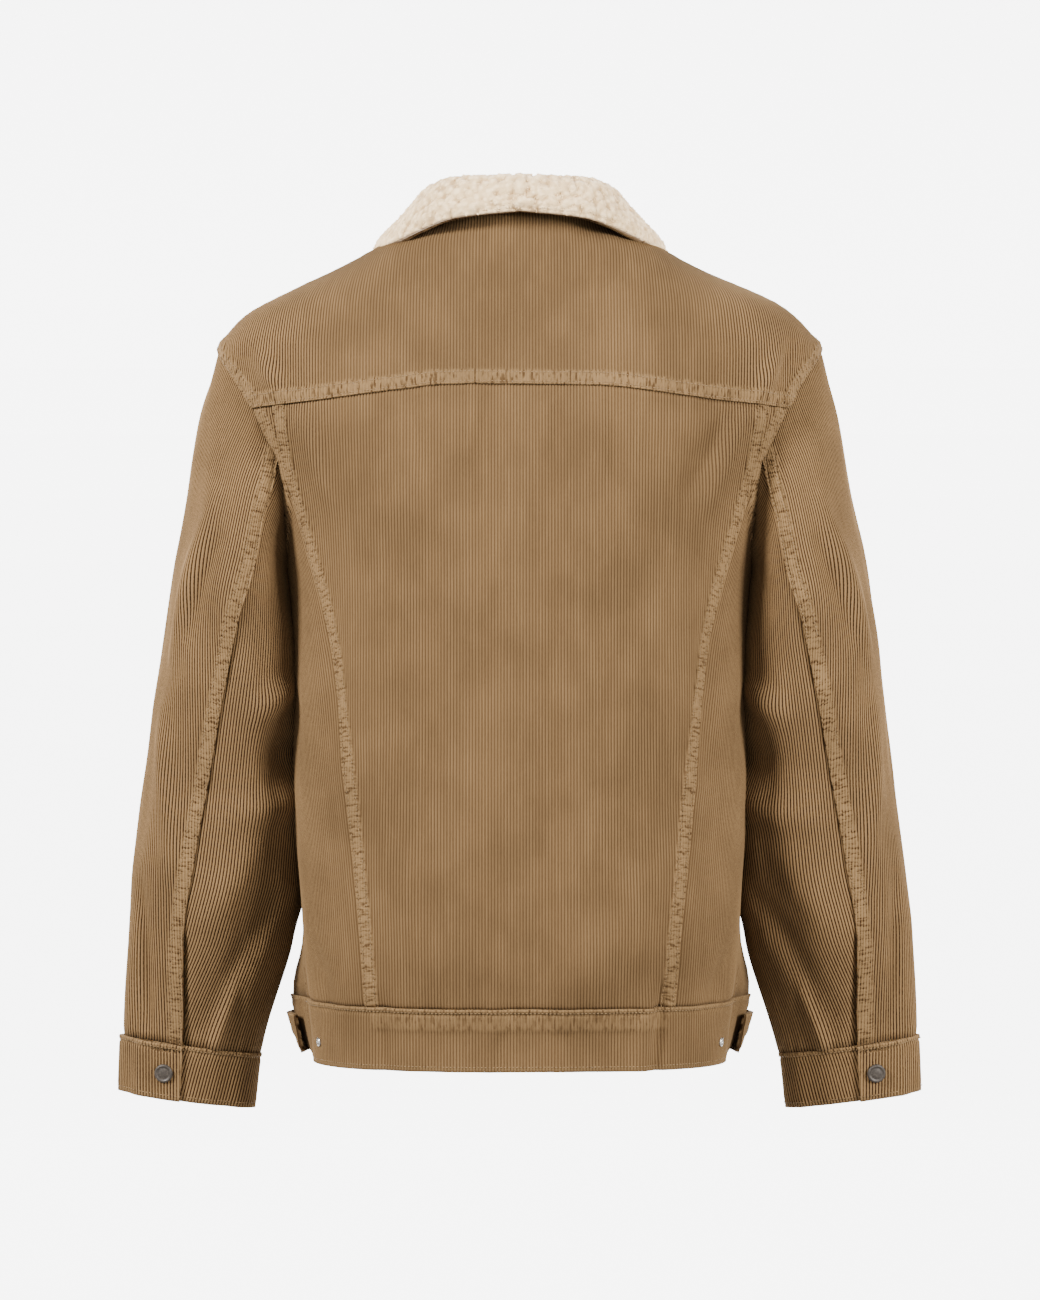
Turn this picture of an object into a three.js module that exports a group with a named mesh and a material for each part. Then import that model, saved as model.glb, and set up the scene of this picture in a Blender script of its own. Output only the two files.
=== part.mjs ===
// Waist-length corduroy jacket with a pile collar, filled out as if worn, sleeves hanging.
// Millimetres, +Z up, front towards -Y, wearer's left towards +X.
// The origin is the middle of the neck opening, level with the tops of the shoulder seams.
import * as THREE from "three";

const DEG = Math.PI / 180;

// Cloth and seams
const BODY_WALL = 3.0;
const SLEEVE_WALL = 2.4;
const CUFF_WALL = 2.6;
const BAND_WALL = 3.2;
const UNDER_COLLAR_WALL = 1.8;
const PILE = 6.5;
const SEAM_INSET = 0.2;
const FELL_WIDTH = 11.5;
const FELL_STEP = 1.6;
const FELL_RISE = 0.9;
const BAND_RISE = 1.0;

// Heights
const HEM_Z = -655;
const BAND_TOP_Z = -606;
const UNDERARM_Z = -245;
const SHOULDER_Z = -88;

// Fronts: how far each one passes the centre line, and the lap between them
const LEFT_FRONT_PAST = 20;
const RIGHT_FRONT_PAST = 10;
const LAP_LIFT = 3.6;
const LAP_FULL = 42;
const LAP_START = 50;

// Level sections of the body: half width, depth to the back, depth to the front, squareness
const BODY_SECTIONS = [
  { z: -655, side: 163.0, back: 113, front: 120, power: 2.5 },
  { z: -630, side: 165.0, back: 115, front: 122, power: 2.5 },
  { z: -606, side: 168.0, back: 119, front: 126, power: 2.5 },
  { z: -560, side: 173.0, back: 126, front: 131, power: 2.5 },
  { z: -450, side: 174.5, back: 129, front: 136, power: 2.5 },
  { z: -378, side: 175.2, back: 130, front: 138, power: 2.5 },
  { z: -324, side: 176.5, back: 130, front: 138, power: 2.45 },
  { z: -270, side: 180.0, back: 129, front: 136, power: 2.4 },
  { z: -245, side: 185.0, back: 128, front: 134, power: 2.4 },
  { z: -200, side: 198.0, back: 125, front: 129, power: 2.4 },
  { z: -175, side: 208.0, back: 122, front: 124, power: 2.4 },
  { z: -155, side: 219.0, back: 120, front: 118, power: 2.4 },
  { z: -137, side: 226.0, back: 117, front: 111, power: 2.35 },
  { z: -112, side: 234.0, back: 112, front: 99, power: 2.3 },
  { z: -88, side: 240.0, back: 105, front: 87, power: 2.2 },
  { z: -72, side: 230.0, back: 101, front: 80, power: 2.1 },
  { z: -56, side: 212.0, back: 97, front: 75, power: 2.05 },
  { z: -40, side: 180.0, back: 93, front: 71, power: 2.0 },
  { z: -24, side: 145.0, back: 89, front: 67, power: 2.0 },
  { z: -10, side: 116.0, back: 84, front: 64, power: 2.0 },
  { z: 4, side: 86.0, back: 80, front: 61, power: 2.0 },
  { z: 18, side: 76.0, back: 76, front: 58, power: 2.0 },
];

// The front edge of each side swings out over the waistband, leaving a trough along the side seam
const FRONT_SWING = [
  { z: -655, out: 3 },
  { z: -640, out: 12 },
  { z: -608, out: 20 },
  { z: -590, out: 16 },
  { z: -565, out: 6 },
  { z: -530, out: 0 },
];

// Neck seam: height at each angle round the neck, 90 at the centre back
const NECK_SEAM = [
  { turn: -120, z: -68 },
  { turn: -90, z: -76 },
  { turn: -60, z: -48 },
  { turn: -30, z: -14 },
  { turn: 0, z: 4 },
  { turn: 30, z: 9 },
  { turn: 60, z: 14 },
  { turn: 90, z: 16 },
];

// Yoke seam across the back: height at each distance from the centre
const YOKE_SEAM = [
  { x: 0, z: -121.5 },
  { x: 60, z: -122.5 },
  { x: 100, z: -126.5 },
  { x: 130, z: -130 },
  { x: 160, z: -133.5 },
  { x: 194, z: -136 },
  { x: 222, z: -138 },
];

// Slanting back seam: distance from the centre at each height
const BACK_SEAM = [
  { z: -606, x: 120.3 },
  { z: -521, x: 126.9 },
  { z: -444, x: 134.6 },
  { z: -356, x: 145 },
  { z: -284, x: 156.3 },
  { z: -252, x: 164.6 },
  { z: -184, x: 183.5 },
  { z: -136, x: 194 },
];

// Armhole: how far it reaches round the body, in degrees, to the back and to the front
const ARMHOLE_BACK = 17.4;
const ARMHOLE_FRONT = 19;
const SLEEVE_SEAM_AT_TOP = 96;
const YOKE_AT_ARMHOLE = 68;

// Sleeve sections from the armhole to the cuff: outermost point, innermost point,
// middle and half size front to back, and where the back seam runs (degrees from outermost)
const SLEEVE_SECTIONS = [
  { w: 0.0, outX: 240, outZ: -88, inX: 185, inZ: -245, mid: 0, half: 68, seam: 96 },
  { w: 0.1, outX: 256, outZ: -145, inX: 190, inZ: -266, mid: 0, half: 76, seam: 105 },
  { w: 0.2, outX: 266, outZ: -208, inX: 187, inZ: -296, mid: -2, half: 80, seam: 107 },
  { w: 0.3, outX: 275, outZ: -256, inX: 182.5, inZ: -335, mid: -4, half: 78, seam: 100 },
  { w: 0.42, outX: 286, outZ: -325, inX: 179, inZ: -385, mid: -7, half: 71, seam: 91 },
  { w: 0.55, outX: 297, outZ: -405, inX: 178, inZ: -450, mid: -12, half: 62, seam: 83 },
  { w: 0.68, outX: 308, outZ: -480, inX: 177.5, inZ: -512, mid: -18, half: 53, seam: 77 },
  { w: 0.8, outX: 315, outZ: -545, inX: 184, inZ: -562, mid: -24, half: 44, seam: 74 },
  { w: 0.925, outX: 321, outZ: -638, inX: 210, inZ: -653, mid: -31, half: 28, seam: 85 },
  { w: 1.0, outX: 323, outZ: -683, inX: 215, inZ: -697, mid: -34, half: 25, seam: 86 },
];
const SLEEVE_BLEND = 0.32;
const CUFF_TOP_W = 0.925;
const VENT_TOP_W = 0.8;

// Long soft ridges down the sleeve: angle, run, width in degrees and height
const SLEEVE_RIDGES = [
  { turn: 48, from: 0.2, to: 0.5, wide: 15, high: 3.0 },
  { turn: 150, from: 0.3, to: 0.62, wide: 20, high: -3.0 },
  { turn: -70, from: 0.3, to: 0.6, wide: 20, high: -3.5 },
  { turn: 20, from: 0.5, to: 0.8, wide: 18, high: -2.5 },
];

// Collar from the centre back to its front end: angle on the neck seam, fold line, outer edge
const COLLAR = [
  { q: 0.0, turn: 90, foldX: 0, foldY: 84, foldZ: 35.5, edgeX: 0, edgeY: 93, edgeZ: 16 },
  { q: 0.18, turn: 60, foldX: 43, foldY: 74, foldZ: 35.5, edgeX: 50, edgeY: 85, edgeZ: 11 },
  { q: 0.36, turn: 30, foldX: 68, foldY: 45, foldZ: 31, edgeX: 93, edgeY: 52, edgeZ: 3 },
  { q: 0.52, turn: 0, foldX: 76, foldY: 2, foldZ: 22, edgeX: 113, edgeY: 4, edgeZ: -2.5 },
  { q: 0.7, turn: -32, foldX: 71, foldY: -44, foldZ: 5, edgeX: 116, edgeY: -46, edgeZ: -15 },
  { q: 0.86, turn: -54, foldX: 50, foldY: -70, foldZ: -24, edgeX: 101, edgeY: -90, edgeZ: -66 },
  { q: 1.0, turn: -72, foldX: 27, foldY: -83, foldZ: -50, edgeX: 70, edgeY: -112, edgeZ: -112 },
];
const FOLD_RADIUS = 4.5;
const COLLAR_LIFT = 3.0;

// Snaps, studs and waist tabs
const SNAP_RADIUS = 7.5;
const SNAP_HEIGHT = 2.4;
const STUD_RADIUS = 3.6;
const STUD_HEIGHT = 1.6;
const FRONT_SNAP_HEIGHTS = [-110, -208, -306, -404, -502];
const BAND_SNAP_HEIGHT = -631;
const CUFF_SNAP = { turn: 432, w: 0.963 };
const BAND_STUD = { x: 157, z: -637 };
const TAB = { fromTurn: -33, toTurn: -3, low: -648, high: -618, wall: 2.4, stand: 6 };

const clamp = (t, low, high) => Math.min(high, Math.max(low, t));

function ease(t) {
  const k = clamp(t, 0, 1);
  return k * k * (3 - 2 * k);
}

// Smooth curve through the rows that never overshoots them.
function smoothCurve(xs, ys) {
  const last = xs.length - 1;
  const step = [];
  const slope = [];
  for (let i = 0; i < last; i++) {
    step.push(xs[i + 1] - xs[i]);
    slope.push((ys[i + 1] - ys[i]) / step[i]);
  }
  const tangent = [slope[0]];
  for (let i = 1; i < last; i++) {
    const before = slope[i - 1];
    const after = slope[i];
    const wide = 2 * step[i] + step[i - 1];
    const near = step[i] + 2 * step[i - 1];
    tangent.push(before * after <= 0 ? 0 : (wide + near) / (wide / before + near / after));
  }
  tangent.push(slope[last - 1]);
  return (x) => {
    let i = 0;
    while (i < last - 1 && x > xs[i + 1]) i++;
    const t = clamp((x - xs[i]) / step[i], 0, 1);
    const a = (1 + 2 * t) * (1 - t) * (1 - t);
    const b = t * (1 - t) * (1 - t);
    const c = t * t * (3 - 2 * t);
    const d = t * t * (t - 1);
    return a * ys[i] + b * step[i] * tangent[i] + c * ys[i + 1] + d * step[i] * tangent[i + 1];
  };
}

function column(rows, along, key) {
  return smoothCurve(
    rows.map((row) => row[along]),
    rows.map((row) => row[key]),
  );
}

// Finds where a rising or falling function takes a value.
function solve(f, low, high, value) {
  const rising = f(high) > f(low);
  let a = low;
  let b = high;
  for (let i = 0; i < 50; i++) {
    const mid = (a + b) / 2;
    if (f(mid) < value === rising) a = mid;
    else b = mid;
  }
  return (a + b) / 2;
}

// Body surface

// Each section's place along the body is its distance up the side outline.
const sectionLevels = [0];
for (let i = 1; i < BODY_SECTIONS.length; i++) {
  const below = BODY_SECTIONS[i - 1];
  const here = BODY_SECTIONS[i];
  sectionLevels.push(sectionLevels[i - 1] + Math.hypot(here.side - below.side, here.z - below.z));
}
const TOP_LEVEL = sectionLevels[sectionLevels.length - 1];
const ofLevel = (key) =>
  smoothCurve(
    sectionLevels,
    BODY_SECTIONS.map((row) => row[key]),
  );
const levelZ = ofLevel("z");
const levelSide = ofLevel("side");
const levelBack = ofLevel("back");
const levelFront = ofLevel("front");
const levelPower = ofLevel("power");
const swingOut = column(FRONT_SWING, "z", "out");
const levelAt = (z) => solve(levelZ, 0, TOP_LEVEL, z);

// Point of the body surface at an angle (0 at the left side, 90 at the centre back) and a level.
function body(turn, level) {
  const z = levelZ(level);
  const c = Math.cos(turn * DEG);
  const s = Math.sin(turn * DEG);
  const depth = s > 0 ? levelBack(level) : levelFront(level);
  const power = levelPower(level);
  const across = Math.pow(Math.abs(c) / levelSide(level), power);
  const along = Math.pow(Math.abs(s) / depth, power);
  const r = Math.pow(across + along, -1 / power);
  const fromSide = Math.asin(clamp(s, -1, 1)) / DEG;
  const swing = ease((4 - fromSide) / 18) * (1 - ease((-30 - fromSide) / 35));
  const out = z < -530 ? swingOut(z) * swing * Math.sign(c) : 0;
  return new THREE.Vector3(r * c + out, r * s, z);
}

function surfaceNormal(surface, u, v, du, dv) {
  const across = surface(u + du, v).sub(surface(u - du, v));
  const up = surface(u, v + dv).sub(surface(u, v - dv));
  return across.cross(up).normalize();
}

const bodyNormal = (turn, level) =>
  surfaceNormal(body, turn, clamp(level, 1, TOP_LEVEL - 1), 0.5, 1);

// Angle and level of the point on the back (or front) at a distance from the centre and a height.
function onBack(x, z) {
  const level = levelAt(z);
  const turn = solve((t) => body(t, level).x, 0, 180, x);
  return { turn, level };
}

function onFront(x, z) {
  const level = levelAt(z);
  const turn = solve((t) => body(t, level).x, -150, 0, x);
  return { turn, level };
}

const neckHeight = column(NECK_SEAM, "turn", "z");
const yokeHeight = column(YOKE_SEAM, "x", "z");
const backSeamX = column(BACK_SEAM, "z", "x");
const onNeck = (turn) => ({ turn, level: levelAt(neckHeight(turn)) });

// Armhole on the body: 0 at the shoulder, 90 at the back, 180 at the underarm, -90 at the front
function armhole(round) {
  const c = Math.cos(round * DEG);
  const s = Math.sin(round * DEG);
  const z = (SHOULDER_Z + UNDERARM_Z) / 2 + ((SHOULDER_Z - UNDERARM_Z) / 2) * c;
  const reach = s > 0 ? ARMHOLE_BACK : ARMHOLE_FRONT;
  return { turn: reach * s * (1 - 0.2 * c - 0.2 * c * c), level: levelAt(z), round };
}

const at = (place) => body(place.turn, place.level);

// Round places of the armhole a given distance on from another, going towards the shoulder.
function armholeStep(round, distance) {
  const start = at(armhole(round));
  return solve((r) => at(armhole(r)).distanceTo(start), round, round - 60, distance);
}

// Sleeve surface
const sleeveOf = (key) => column(SLEEVE_SECTIONS, "w", key);
const sleeveOutX = sleeveOf("outX");
const sleeveOutZ = sleeveOf("outZ");
const sleeveInX = sleeveOf("inX");
const sleeveInZ = sleeveOf("inZ");
const sleeveMid = sleeveOf("mid");
const sleeveHalf = sleeveOf("half");
const sleeveSeam = sleeveOf("seam");

function sleeveTube(round, w) {
  const c = Math.cos(round * DEG);
  const s = Math.sin(round * DEG);
  const x = (sleeveOutX(w) * (1 + c) + sleeveInX(w) * (1 - c)) / 2;
  const z = (sleeveOutZ(w) * (1 + c) + sleeveInZ(w) * (1 - c)) / 2;
  return new THREE.Vector3(x, sleeveMid(w) + sleeveHalf(w) * s, z);
}

function sleeveRidge(round, w) {
  let sum = 0;
  for (const ridge of SLEEVE_RIDGES) {
    const off = Math.abs(((round - ridge.turn + 540) % 360) - 180) / ridge.wide;
    const run = (w - ridge.from) / (ridge.to - ridge.from);
    if (run > 0 && run < 1) sum += ridge.high * Math.exp(-off * off) * Math.sin(Math.PI * run);
  }
  return sum;
}

// Point of the left sleeve at an angle round it and a share of its length from the armhole.
function sleeve(round, w) {
  const point = sleeveTube(round, w);
  if (w < SLEEVE_BLEND) {
    const keep = 1 - ease(w / SLEEVE_BLEND);
    point.addScaledVector(at(armhole(round)).sub(sleeveTube(round, 0)), keep);
  }
  const ridge = sleeveRidge(round, w);
  point.x += ridge * Math.cos(round * DEG);
  point.y += ridge * Math.sin(round * DEG);
  return point;
}

const sleeveNormal = (round, w) =>
  surfaceNormal(sleeve, round, clamp(w, 0.004, 0.996), 1, 0.004).negate();

// Along the armhole the body and sleeve walls meet in a mitre, except where they fold back to back.
function mitre(own, other) {
  const share = clamp((own.dot(other) + 0.2) / 0.6, 0, 1);
  return own.clone().addScaledVector(other, share).normalize();
}

function normalAt(place) {
  if (place.round === undefined) return bodyNormal(place.turn, place.level);
  const { turn, level, round } = armhole(place.round);
  const normal = mitre(bodyNormal(turn, level), sleeveNormal(round, 0.02));
  if (place.mirror) normal.x = -normal.x;
  return normal;
}

function sleeveNormalAt(place) {
  const own = sleeveNormal(place.turn, place.level);
  if (place.level > 0) return own;
  const { turn, level, round } = armhole(place.turn);
  return mitre(sleeveNormal(round, 0.02), bodyNormal(turn, level));
}

// Collar surface: from the neck seam up the stand, over the fold and down to the outer edge
const collarOf = (key) => column(COLLAR, "q", key);
const collarTurn = collarOf("turn");
const collarFold = ["foldX", "foldY", "foldZ"].map(collarOf);
const collarEdge = ["edgeX", "edgeY", "edgeZ"].map(collarOf);

function collarSection(q) {
  const pick = (curves) => new THREE.Vector3(...curves.map((curve) => curve(q)));
  const seam = at(onNeck(collarTurn(q)));
  const fold = pick(collarFold);
  const edge = pick(collarEdge);
  seam.z += COLLAR_LIFT;
  const out = edge.clone().sub(fold).setZ(0).normalize();
  const inner = fold.clone().addScaledVector(out, -FOLD_RADIUS);
  const outer = fold.clone().addScaledVector(out, FOLD_RADIUS);
  inner.z -= FOLD_RADIUS;
  outer.z -= FOLD_RADIUS * 0.9;
  return [seam, seam.clone().lerp(inner, 0.5), inner, fold, outer, outer.clone().lerp(edge, 0.5), edge];
}

// Point of the right half's mirror is taken by the sign of q.
function collar(q, along) {
  const curve = new THREE.CatmullRomCurve3(collarSection(Math.abs(q)), false, "centripetal");
  const point = curve.getPoint(clamp(along, 0, 1));
  if (q < 0) point.x = -point.x;
  return point;
}

const collarNormal = (q, along) =>
  surfaceNormal(collar, clamp(q, -0.99, 0.99), clamp(along, 0.01, 0.99), 0.01, 0.01);

// Grids of places and walls of cloth

// Fills a grid of places from its four edges: bottom and top run along columns, left and right
// along rows, and the four share their corners.
function fillGrid(bottom, top, left, right) {
  const columns = bottom.length - 1;
  const rows = left.length - 1;
  const grid = [];
  for (let j = 0; j <= rows; j++) {
    const t = j / rows;
    const line = [];
    for (let i = 0; i <= columns; i++) {
      const s = i / columns;
      const mix = (key) =>
        (1 - s) * left[j][key] + s * right[j][key] + (1 - t) * bottom[i][key] + t * top[i][key] -
        (1 - s) * ((1 - t) * bottom[0][key] + t * top[0][key]) -
        s * ((1 - t) * bottom[columns][key] + t * top[columns][key]);
      if (j === 0) line.push(bottom[i]);
      else if (j === rows) line.push(top[i]);
      else if (i === 0) line.push(left[j]);
      else if (i === columns) line.push(right[j]);
      else line.push({ turn: mix("turn"), level: mix("level") });
    }
    grid.push(line);
  }
  return grid;
}

// Lengths wanted along a line of a given length: set distances from each end, even between.
function spacing(total, count, fromStart, fromEnd) {
  const shrink = Math.min(1, (0.55 * total) / (Math.max(0, ...fromStart) + Math.max(0, ...fromEnd) + 1e-6));
  const start = [0, ...fromStart.map((d) => d * shrink)];
  const end = [...fromEnd.map((d) => total - d * shrink).reverse(), total];
  const between = count - (start.length - 1) - (end.length - 1);
  const low = start[start.length - 1];
  const high = end[0];
  const middle = [];
  for (let k = 1; k < between; k++) middle.push(low + ((high - low) * k) / between);
  return [...start, ...middle, ...end];
}

// Moves the places along a line so that they lie at the wanted distances on the surface.
function respace(line, surface, fromStart, fromEnd) {
  const points = line.map(surface);
  const run = [0];
  for (let i = 1; i < points.length; i++) run.push(run[i - 1] + points[i].distanceTo(points[i - 1]));
  const total = run[run.length - 1];
  const wanted = spacing(total, line.length - 1, fromStart, fromEnd);
  return wanted.map((d, k) => {
    if (k === 0) return line[0];
    if (k === wanted.length - 1) return line[line.length - 1];
    let i = 0;
    while (i < run.length - 2 && d > run[i + 1]) i++;
    const f = clamp((d - run[i]) / (run[i + 1] - run[i] || 1), 0, 1);
    const mix = (key) => line[i][key] * (1 - f) + line[i + 1][key] * f;
    return { turn: mix("turn"), level: mix("level") };
  });
}

// Draws the edges of a grid of points back from the seam lines.
function drawBack(grid) {
  const last = grid.length - 1;
  const end = grid[0].length - 1;
  const toward = (p, q) => q.clone().sub(p).setLength(SEAM_INSET);
  const shifts = [];
  for (let j = 0; j <= last; j++) {
    shifts.push([0, end, toward(grid[j][0], grid[j][1]), toward(grid[j][end], grid[j][end - 1]), j]);
  }
  const ends = [];
  for (let i = 0; i <= end; i++) {
    ends.push([i, toward(grid[0][i], grid[1][i]), toward(grid[last][i], grid[last - 1][i])]);
  }
  for (const [a, b, first, second, j] of shifts) {
    grid[j][a].add(first);
    grid[j][b].add(second);
  }
  for (const [i, low, high] of ends) {
    grid[0][i].add(low);
    grid[last][i].add(high);
  }
}

// Closed wall between an outer and an inner grid of points.
function wallGeometry(outer, inner) {
  const rows = outer.length;
  const columns = outer[0].length;
  const points = [...outer.flat(), ...inner.flat()];
  const o = (i, j) => j * columns + i;
  const n = (i, j) => rows * columns + j * columns + i;
  const faces = [];
  const quad = (a, b, c, d) => faces.push(a, b, c, a, c, d);
  for (let j = 0; j < rows - 1; j++) {
    for (let i = 0; i < columns - 1; i++) {
      quad(o(i, j), o(i + 1, j), o(i + 1, j + 1), o(i, j + 1));
      quad(n(i, j), n(i, j + 1), n(i + 1, j + 1), n(i + 1, j));
    }
    quad(o(0, j), o(0, j + 1), n(0, j + 1), n(0, j));
    quad(o(columns - 1, j), n(columns - 1, j), n(columns - 1, j + 1), o(columns - 1, j + 1));
  }
  for (let i = 0; i < columns - 1; i++) {
    quad(o(i, 0), n(i, 0), n(i + 1, 0), o(i + 1, 0));
    quad(o(i, rows - 1), o(i + 1, rows - 1), n(i + 1, rows - 1), n(i, rows - 1));
  }
  return facingOut(points, faces);
}

function facingOut(points, faces) {
  let volume = 0;
  for (let k = 0; k < faces.length; k += 3) {
    const [a, b, c] = [points[faces[k]], points[faces[k + 1]], points[faces[k + 2]]];
    volume += a.dot(b.clone().cross(c));
  }
  if (volume < 0) {
    for (let k = 0; k < faces.length; k += 3) {
      [faces[k + 1], faces[k + 2]] = [faces[k + 2], faces[k + 1]];
    }
  }
  const geometry = new THREE.BufferGeometry();
  geometry.setAttribute(
    "position",
    new THREE.Float32BufferAttribute(points.flatMap((p) => p.toArray()), 3),
  );
  geometry.setIndex(faces);
  return geometry;
}

// Wall over a grid of places: outer points raised by rise, whole wall lifted by lift.
function clothWall(places, surface, normal, thick, rise, lift) {
  const grids = [[], []];
  places.forEach((line, j) => {
    const out = [];
    const into = [];
    line.forEach((place, i) => {
      const p = surface(place);
      const n = normal(place);
      const up = lift ? lift(i, j) : 0;
      out.push(p.clone().addScaledVector(n, up + (rise ? rise(i, j) : 0)));
      into.push(p.clone().addScaledVector(n, up - thick));
    });
    grids[0].push(out);
    grids[1].push(into);
  });
  grids.forEach(drawBack);
  return wallGeometry(...grids);
}

const lerpList = (from, to, count) =>
  Array.from({ length: count + 1 }, (_, k) => from + ((to - from) * k) / count);

// Shared places along the seams

// Armhole places from the underarm up the back to the shoulder, then down the front
const underSleeveRounds = lerpList(180, SLEEVE_SEAM_AT_TOP, 6);
const sleeveFell = [FELL_WIDTH, FELL_WIDTH + FELL_STEP].map((d) => armholeStep(SLEEVE_SEAM_AT_TOP, d));
const sideRounds = [...underSleeveRounds, ...sleeveFell, 78, YOKE_AT_ARMHOLE];
const yokeFell = [FELL_WIDTH, FELL_WIDTH + FELL_STEP].map((d) => armholeStep(YOKE_AT_ARMHOLE, d));
const yokeRounds = [YOKE_AT_ARMHOLE, ...yokeFell, 42, 27, 13, 0];
const frontRounds = [0, -16, -34, -55, -78, -102, -126, -150, -168, -180];

// Side seam and slanting back seam, with matching rows
const sideHeights = lerpList(BAND_TOP_Z, UNDERARM_Z, 7);
const sideSeam = sideHeights.map((z) => ({ turn: 0, level: levelAt(z) }));
const armholeBack = sideRounds.map(armhole);
const sideEdge = [...sideSeam, ...armholeBack.slice(1)];
const backSeamHeights = sideEdge.map((place, j) =>
  j < sideSeam.length ? levelZ(place.level) : levelZ(place.level) + 2 * ((j - 7) / 9),
);
const backSeam = backSeamHeights.map((z) => onBack(backSeamX(z), z));

function onYokeSeam(x) {
  return onBack(x, yokeHeight(Math.abs(x)));
}

const seamTop = backSeam.length - 1;
backSeam[seamTop] = onYokeSeam(backSeamX(-136));
const yokeEnd = sideEdge[sideEdge.length - 1];
const mirrorPlace = (place) => ({ ...place, turn: 180 - place.turn, mirror: true });
const mirrored = (places) => places.map(mirrorPlace);

// Columns across the centre back and the sides
const CENTRE_COLUMNS = 14;
const SIDE_COLUMNS = 4;
const fellBand = [FELL_WIDTH, FELL_WIDTH + FELL_STEP];
const fellEdge = [FELL_WIDTH];

function levelLine(from, to, count) {
  const mix = (key, f) => from[key] * (1 - f) + to[key] * f;
  const between = lerpList(0, 1, count).map((f) => ({ turn: mix("turn", f), level: mix("level", f) }));
  return [from, ...between.slice(1, -1), to];
}

const seamTopX = at(backSeam[seamTop]).x;
const centreTopRaw = lerpList(seamTopX, -seamTopX, CENTRE_COLUMNS).map(onYokeSeam);
const centreTop = respace(centreTopRaw, at, fellBand, fellBand);
const centreBottomRaw = levelLine(backSeam[0], mirrorPlace(backSeam[0]), CENTRE_COLUMNS);
const centreBottom = respace(centreBottomRaw, at, fellBand, fellBand);
const sideTop = respace(levelLine(yokeEnd, backSeam[seamTop], SIDE_COLUMNS), at, fellEdge, []);
const sideBottom = respace(levelLine(sideEdge[0], backSeam[0], SIDE_COLUMNS), at, fellEdge, []);

const inBand = (i, count) => i < 2 || i > count - 2;

// Keeps the end rows as they are and spaces the rows between.
function spacedRows(grid, fromStart, fromEnd) {
  return grid.map((line, j) =>
    j === 0 || j === grid.length - 1 ? line : respace(line, at, fromStart, fromEnd),
  );
}

const centreGrid = spacedRows(
  fillGrid(centreBottom, centreTop, backSeam, mirrored(backSeam)),
  fellBand,
  fellBand,
);
const sideGrid = spacedRows(fillGrid(sideBottom, sideTop, sideEdge, backSeam), fellEdge, []);

// Yoke: from the yoke seam over both shoulders to the neck
const shoulderLevels = lerpList(levelAt(SHOULDER_Z), onNeck(0).level, 6);
const shoulderSeam = shoulderLevels.map((level) => ({ turn: 0, level }));
const yokeEdge = [...yokeRounds.map(armhole), ...shoulderSeam.slice(1)];
const yokeBottom = [...sideTop, ...centreTop.slice(1), ...mirrored(sideTop).reverse().slice(1)];
const yokeColumns = yokeBottom.length - 1;
const yokeTop = lerpList(0, 180, yokeColumns).map((turn) => ({
  turn,
  level: onNeck(turn > 90 ? 180 - turn : turn).level,
}));

// The seam band above the yoke seam keeps one width: rows 1 and 2 are set off from row 0.
function bandRows(grid) {
  const columns = grid[0].length;
  for (let i = 1; i < columns - 1; i++) {
    const line = grid.map((row) => row[i]);
    const low = respace([line[0], line[3]], at, [], []);
    const total = at(line[0]).distanceTo(at(line[3]));
    fellBand.forEach((d, k) => {
      const f = d / total;
      const mix = (key) => low[0][key] * (1 - f) + low[1][key] * f;
      grid[k + 1][i] = { turn: mix("turn"), level: mix("level") };
    });
  }
  return grid;
}

const yokeGrid = bandRows(
  spacedRows(fillGrid(yokeBottom, yokeTop, yokeEdge, mirrored(yokeEdge)), fellEdge, fellEdge),
);

// Fronts: from the side seam, armhole and shoulder seam to just past the centre
const FRONT_COLUMNS = 11;
const frontArmhole = frontRounds.map(armhole).reverse();
const frontEdge = [...sideSeam.slice(0, -1), ...frontArmhole, ...shoulderSeam.slice(1)];

function frontGrid(past, nearCentre) {
  const rows = frontEdge.length - 1;
  const neckEnd = -90 - solve((t) => -at(onNeck(-90 - t)).x, 0, 30, past);
  const top = lerpList(0, neckEnd, FRONT_COLUMNS).map(onNeck);
  const centre = lerpList(BAND_TOP_Z, levelZ(top[FRONT_COLUMNS].level), rows).map((z) =>
    onFront(-past, z),
  );
  centre[rows] = top[FRONT_COLUMNS];
  const bottom = levelLine(frontEdge[0], centre[0], FRONT_COLUMNS);
  const grid = fillGrid(bottom, top, frontEdge, centre);
  return grid.map((line) => respace(line, at, fellEdge, nearCentre));
}

// Distances from the free edge at which the upper front starts to lift and is fully lifted
const lapColumns = [LAP_FULL / 2, LAP_FULL, LAP_START];
const leftFrontGrid = frontGrid(LEFT_FRONT_PAST, lapColumns);
const rightFrontGrid = frontGrid(RIGHT_FRONT_PAST, [LAP_FULL / 2, LAP_FULL]);

// Waistband: back piece between the side seams, and two front pieces
const bandRowsZ = [HEM_Z, -631, BAND_TOP_Z];
const bandLevels = bandRowsZ.map(levelAt);
const backBandTop = [...sideBottom, ...centreBottom.slice(1), ...mirrored(sideBottom).reverse().slice(1)];
const backBandGrid = bandLevels.map((level) => backBandTop.map(({ turn }) => ({ turn, level })));

function frontBandGrid(grid, past) {
  const turns = grid[0].map(({ turn }) => turn);
  return bandLevels.map((level, j) => {
    const end = onFront(-past, bandRowsZ[j]).turn;
    return turns.map((turn) => ({ turn: (turn * end) / turns[FRONT_COLUMNS], level }));
  });
}

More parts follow.
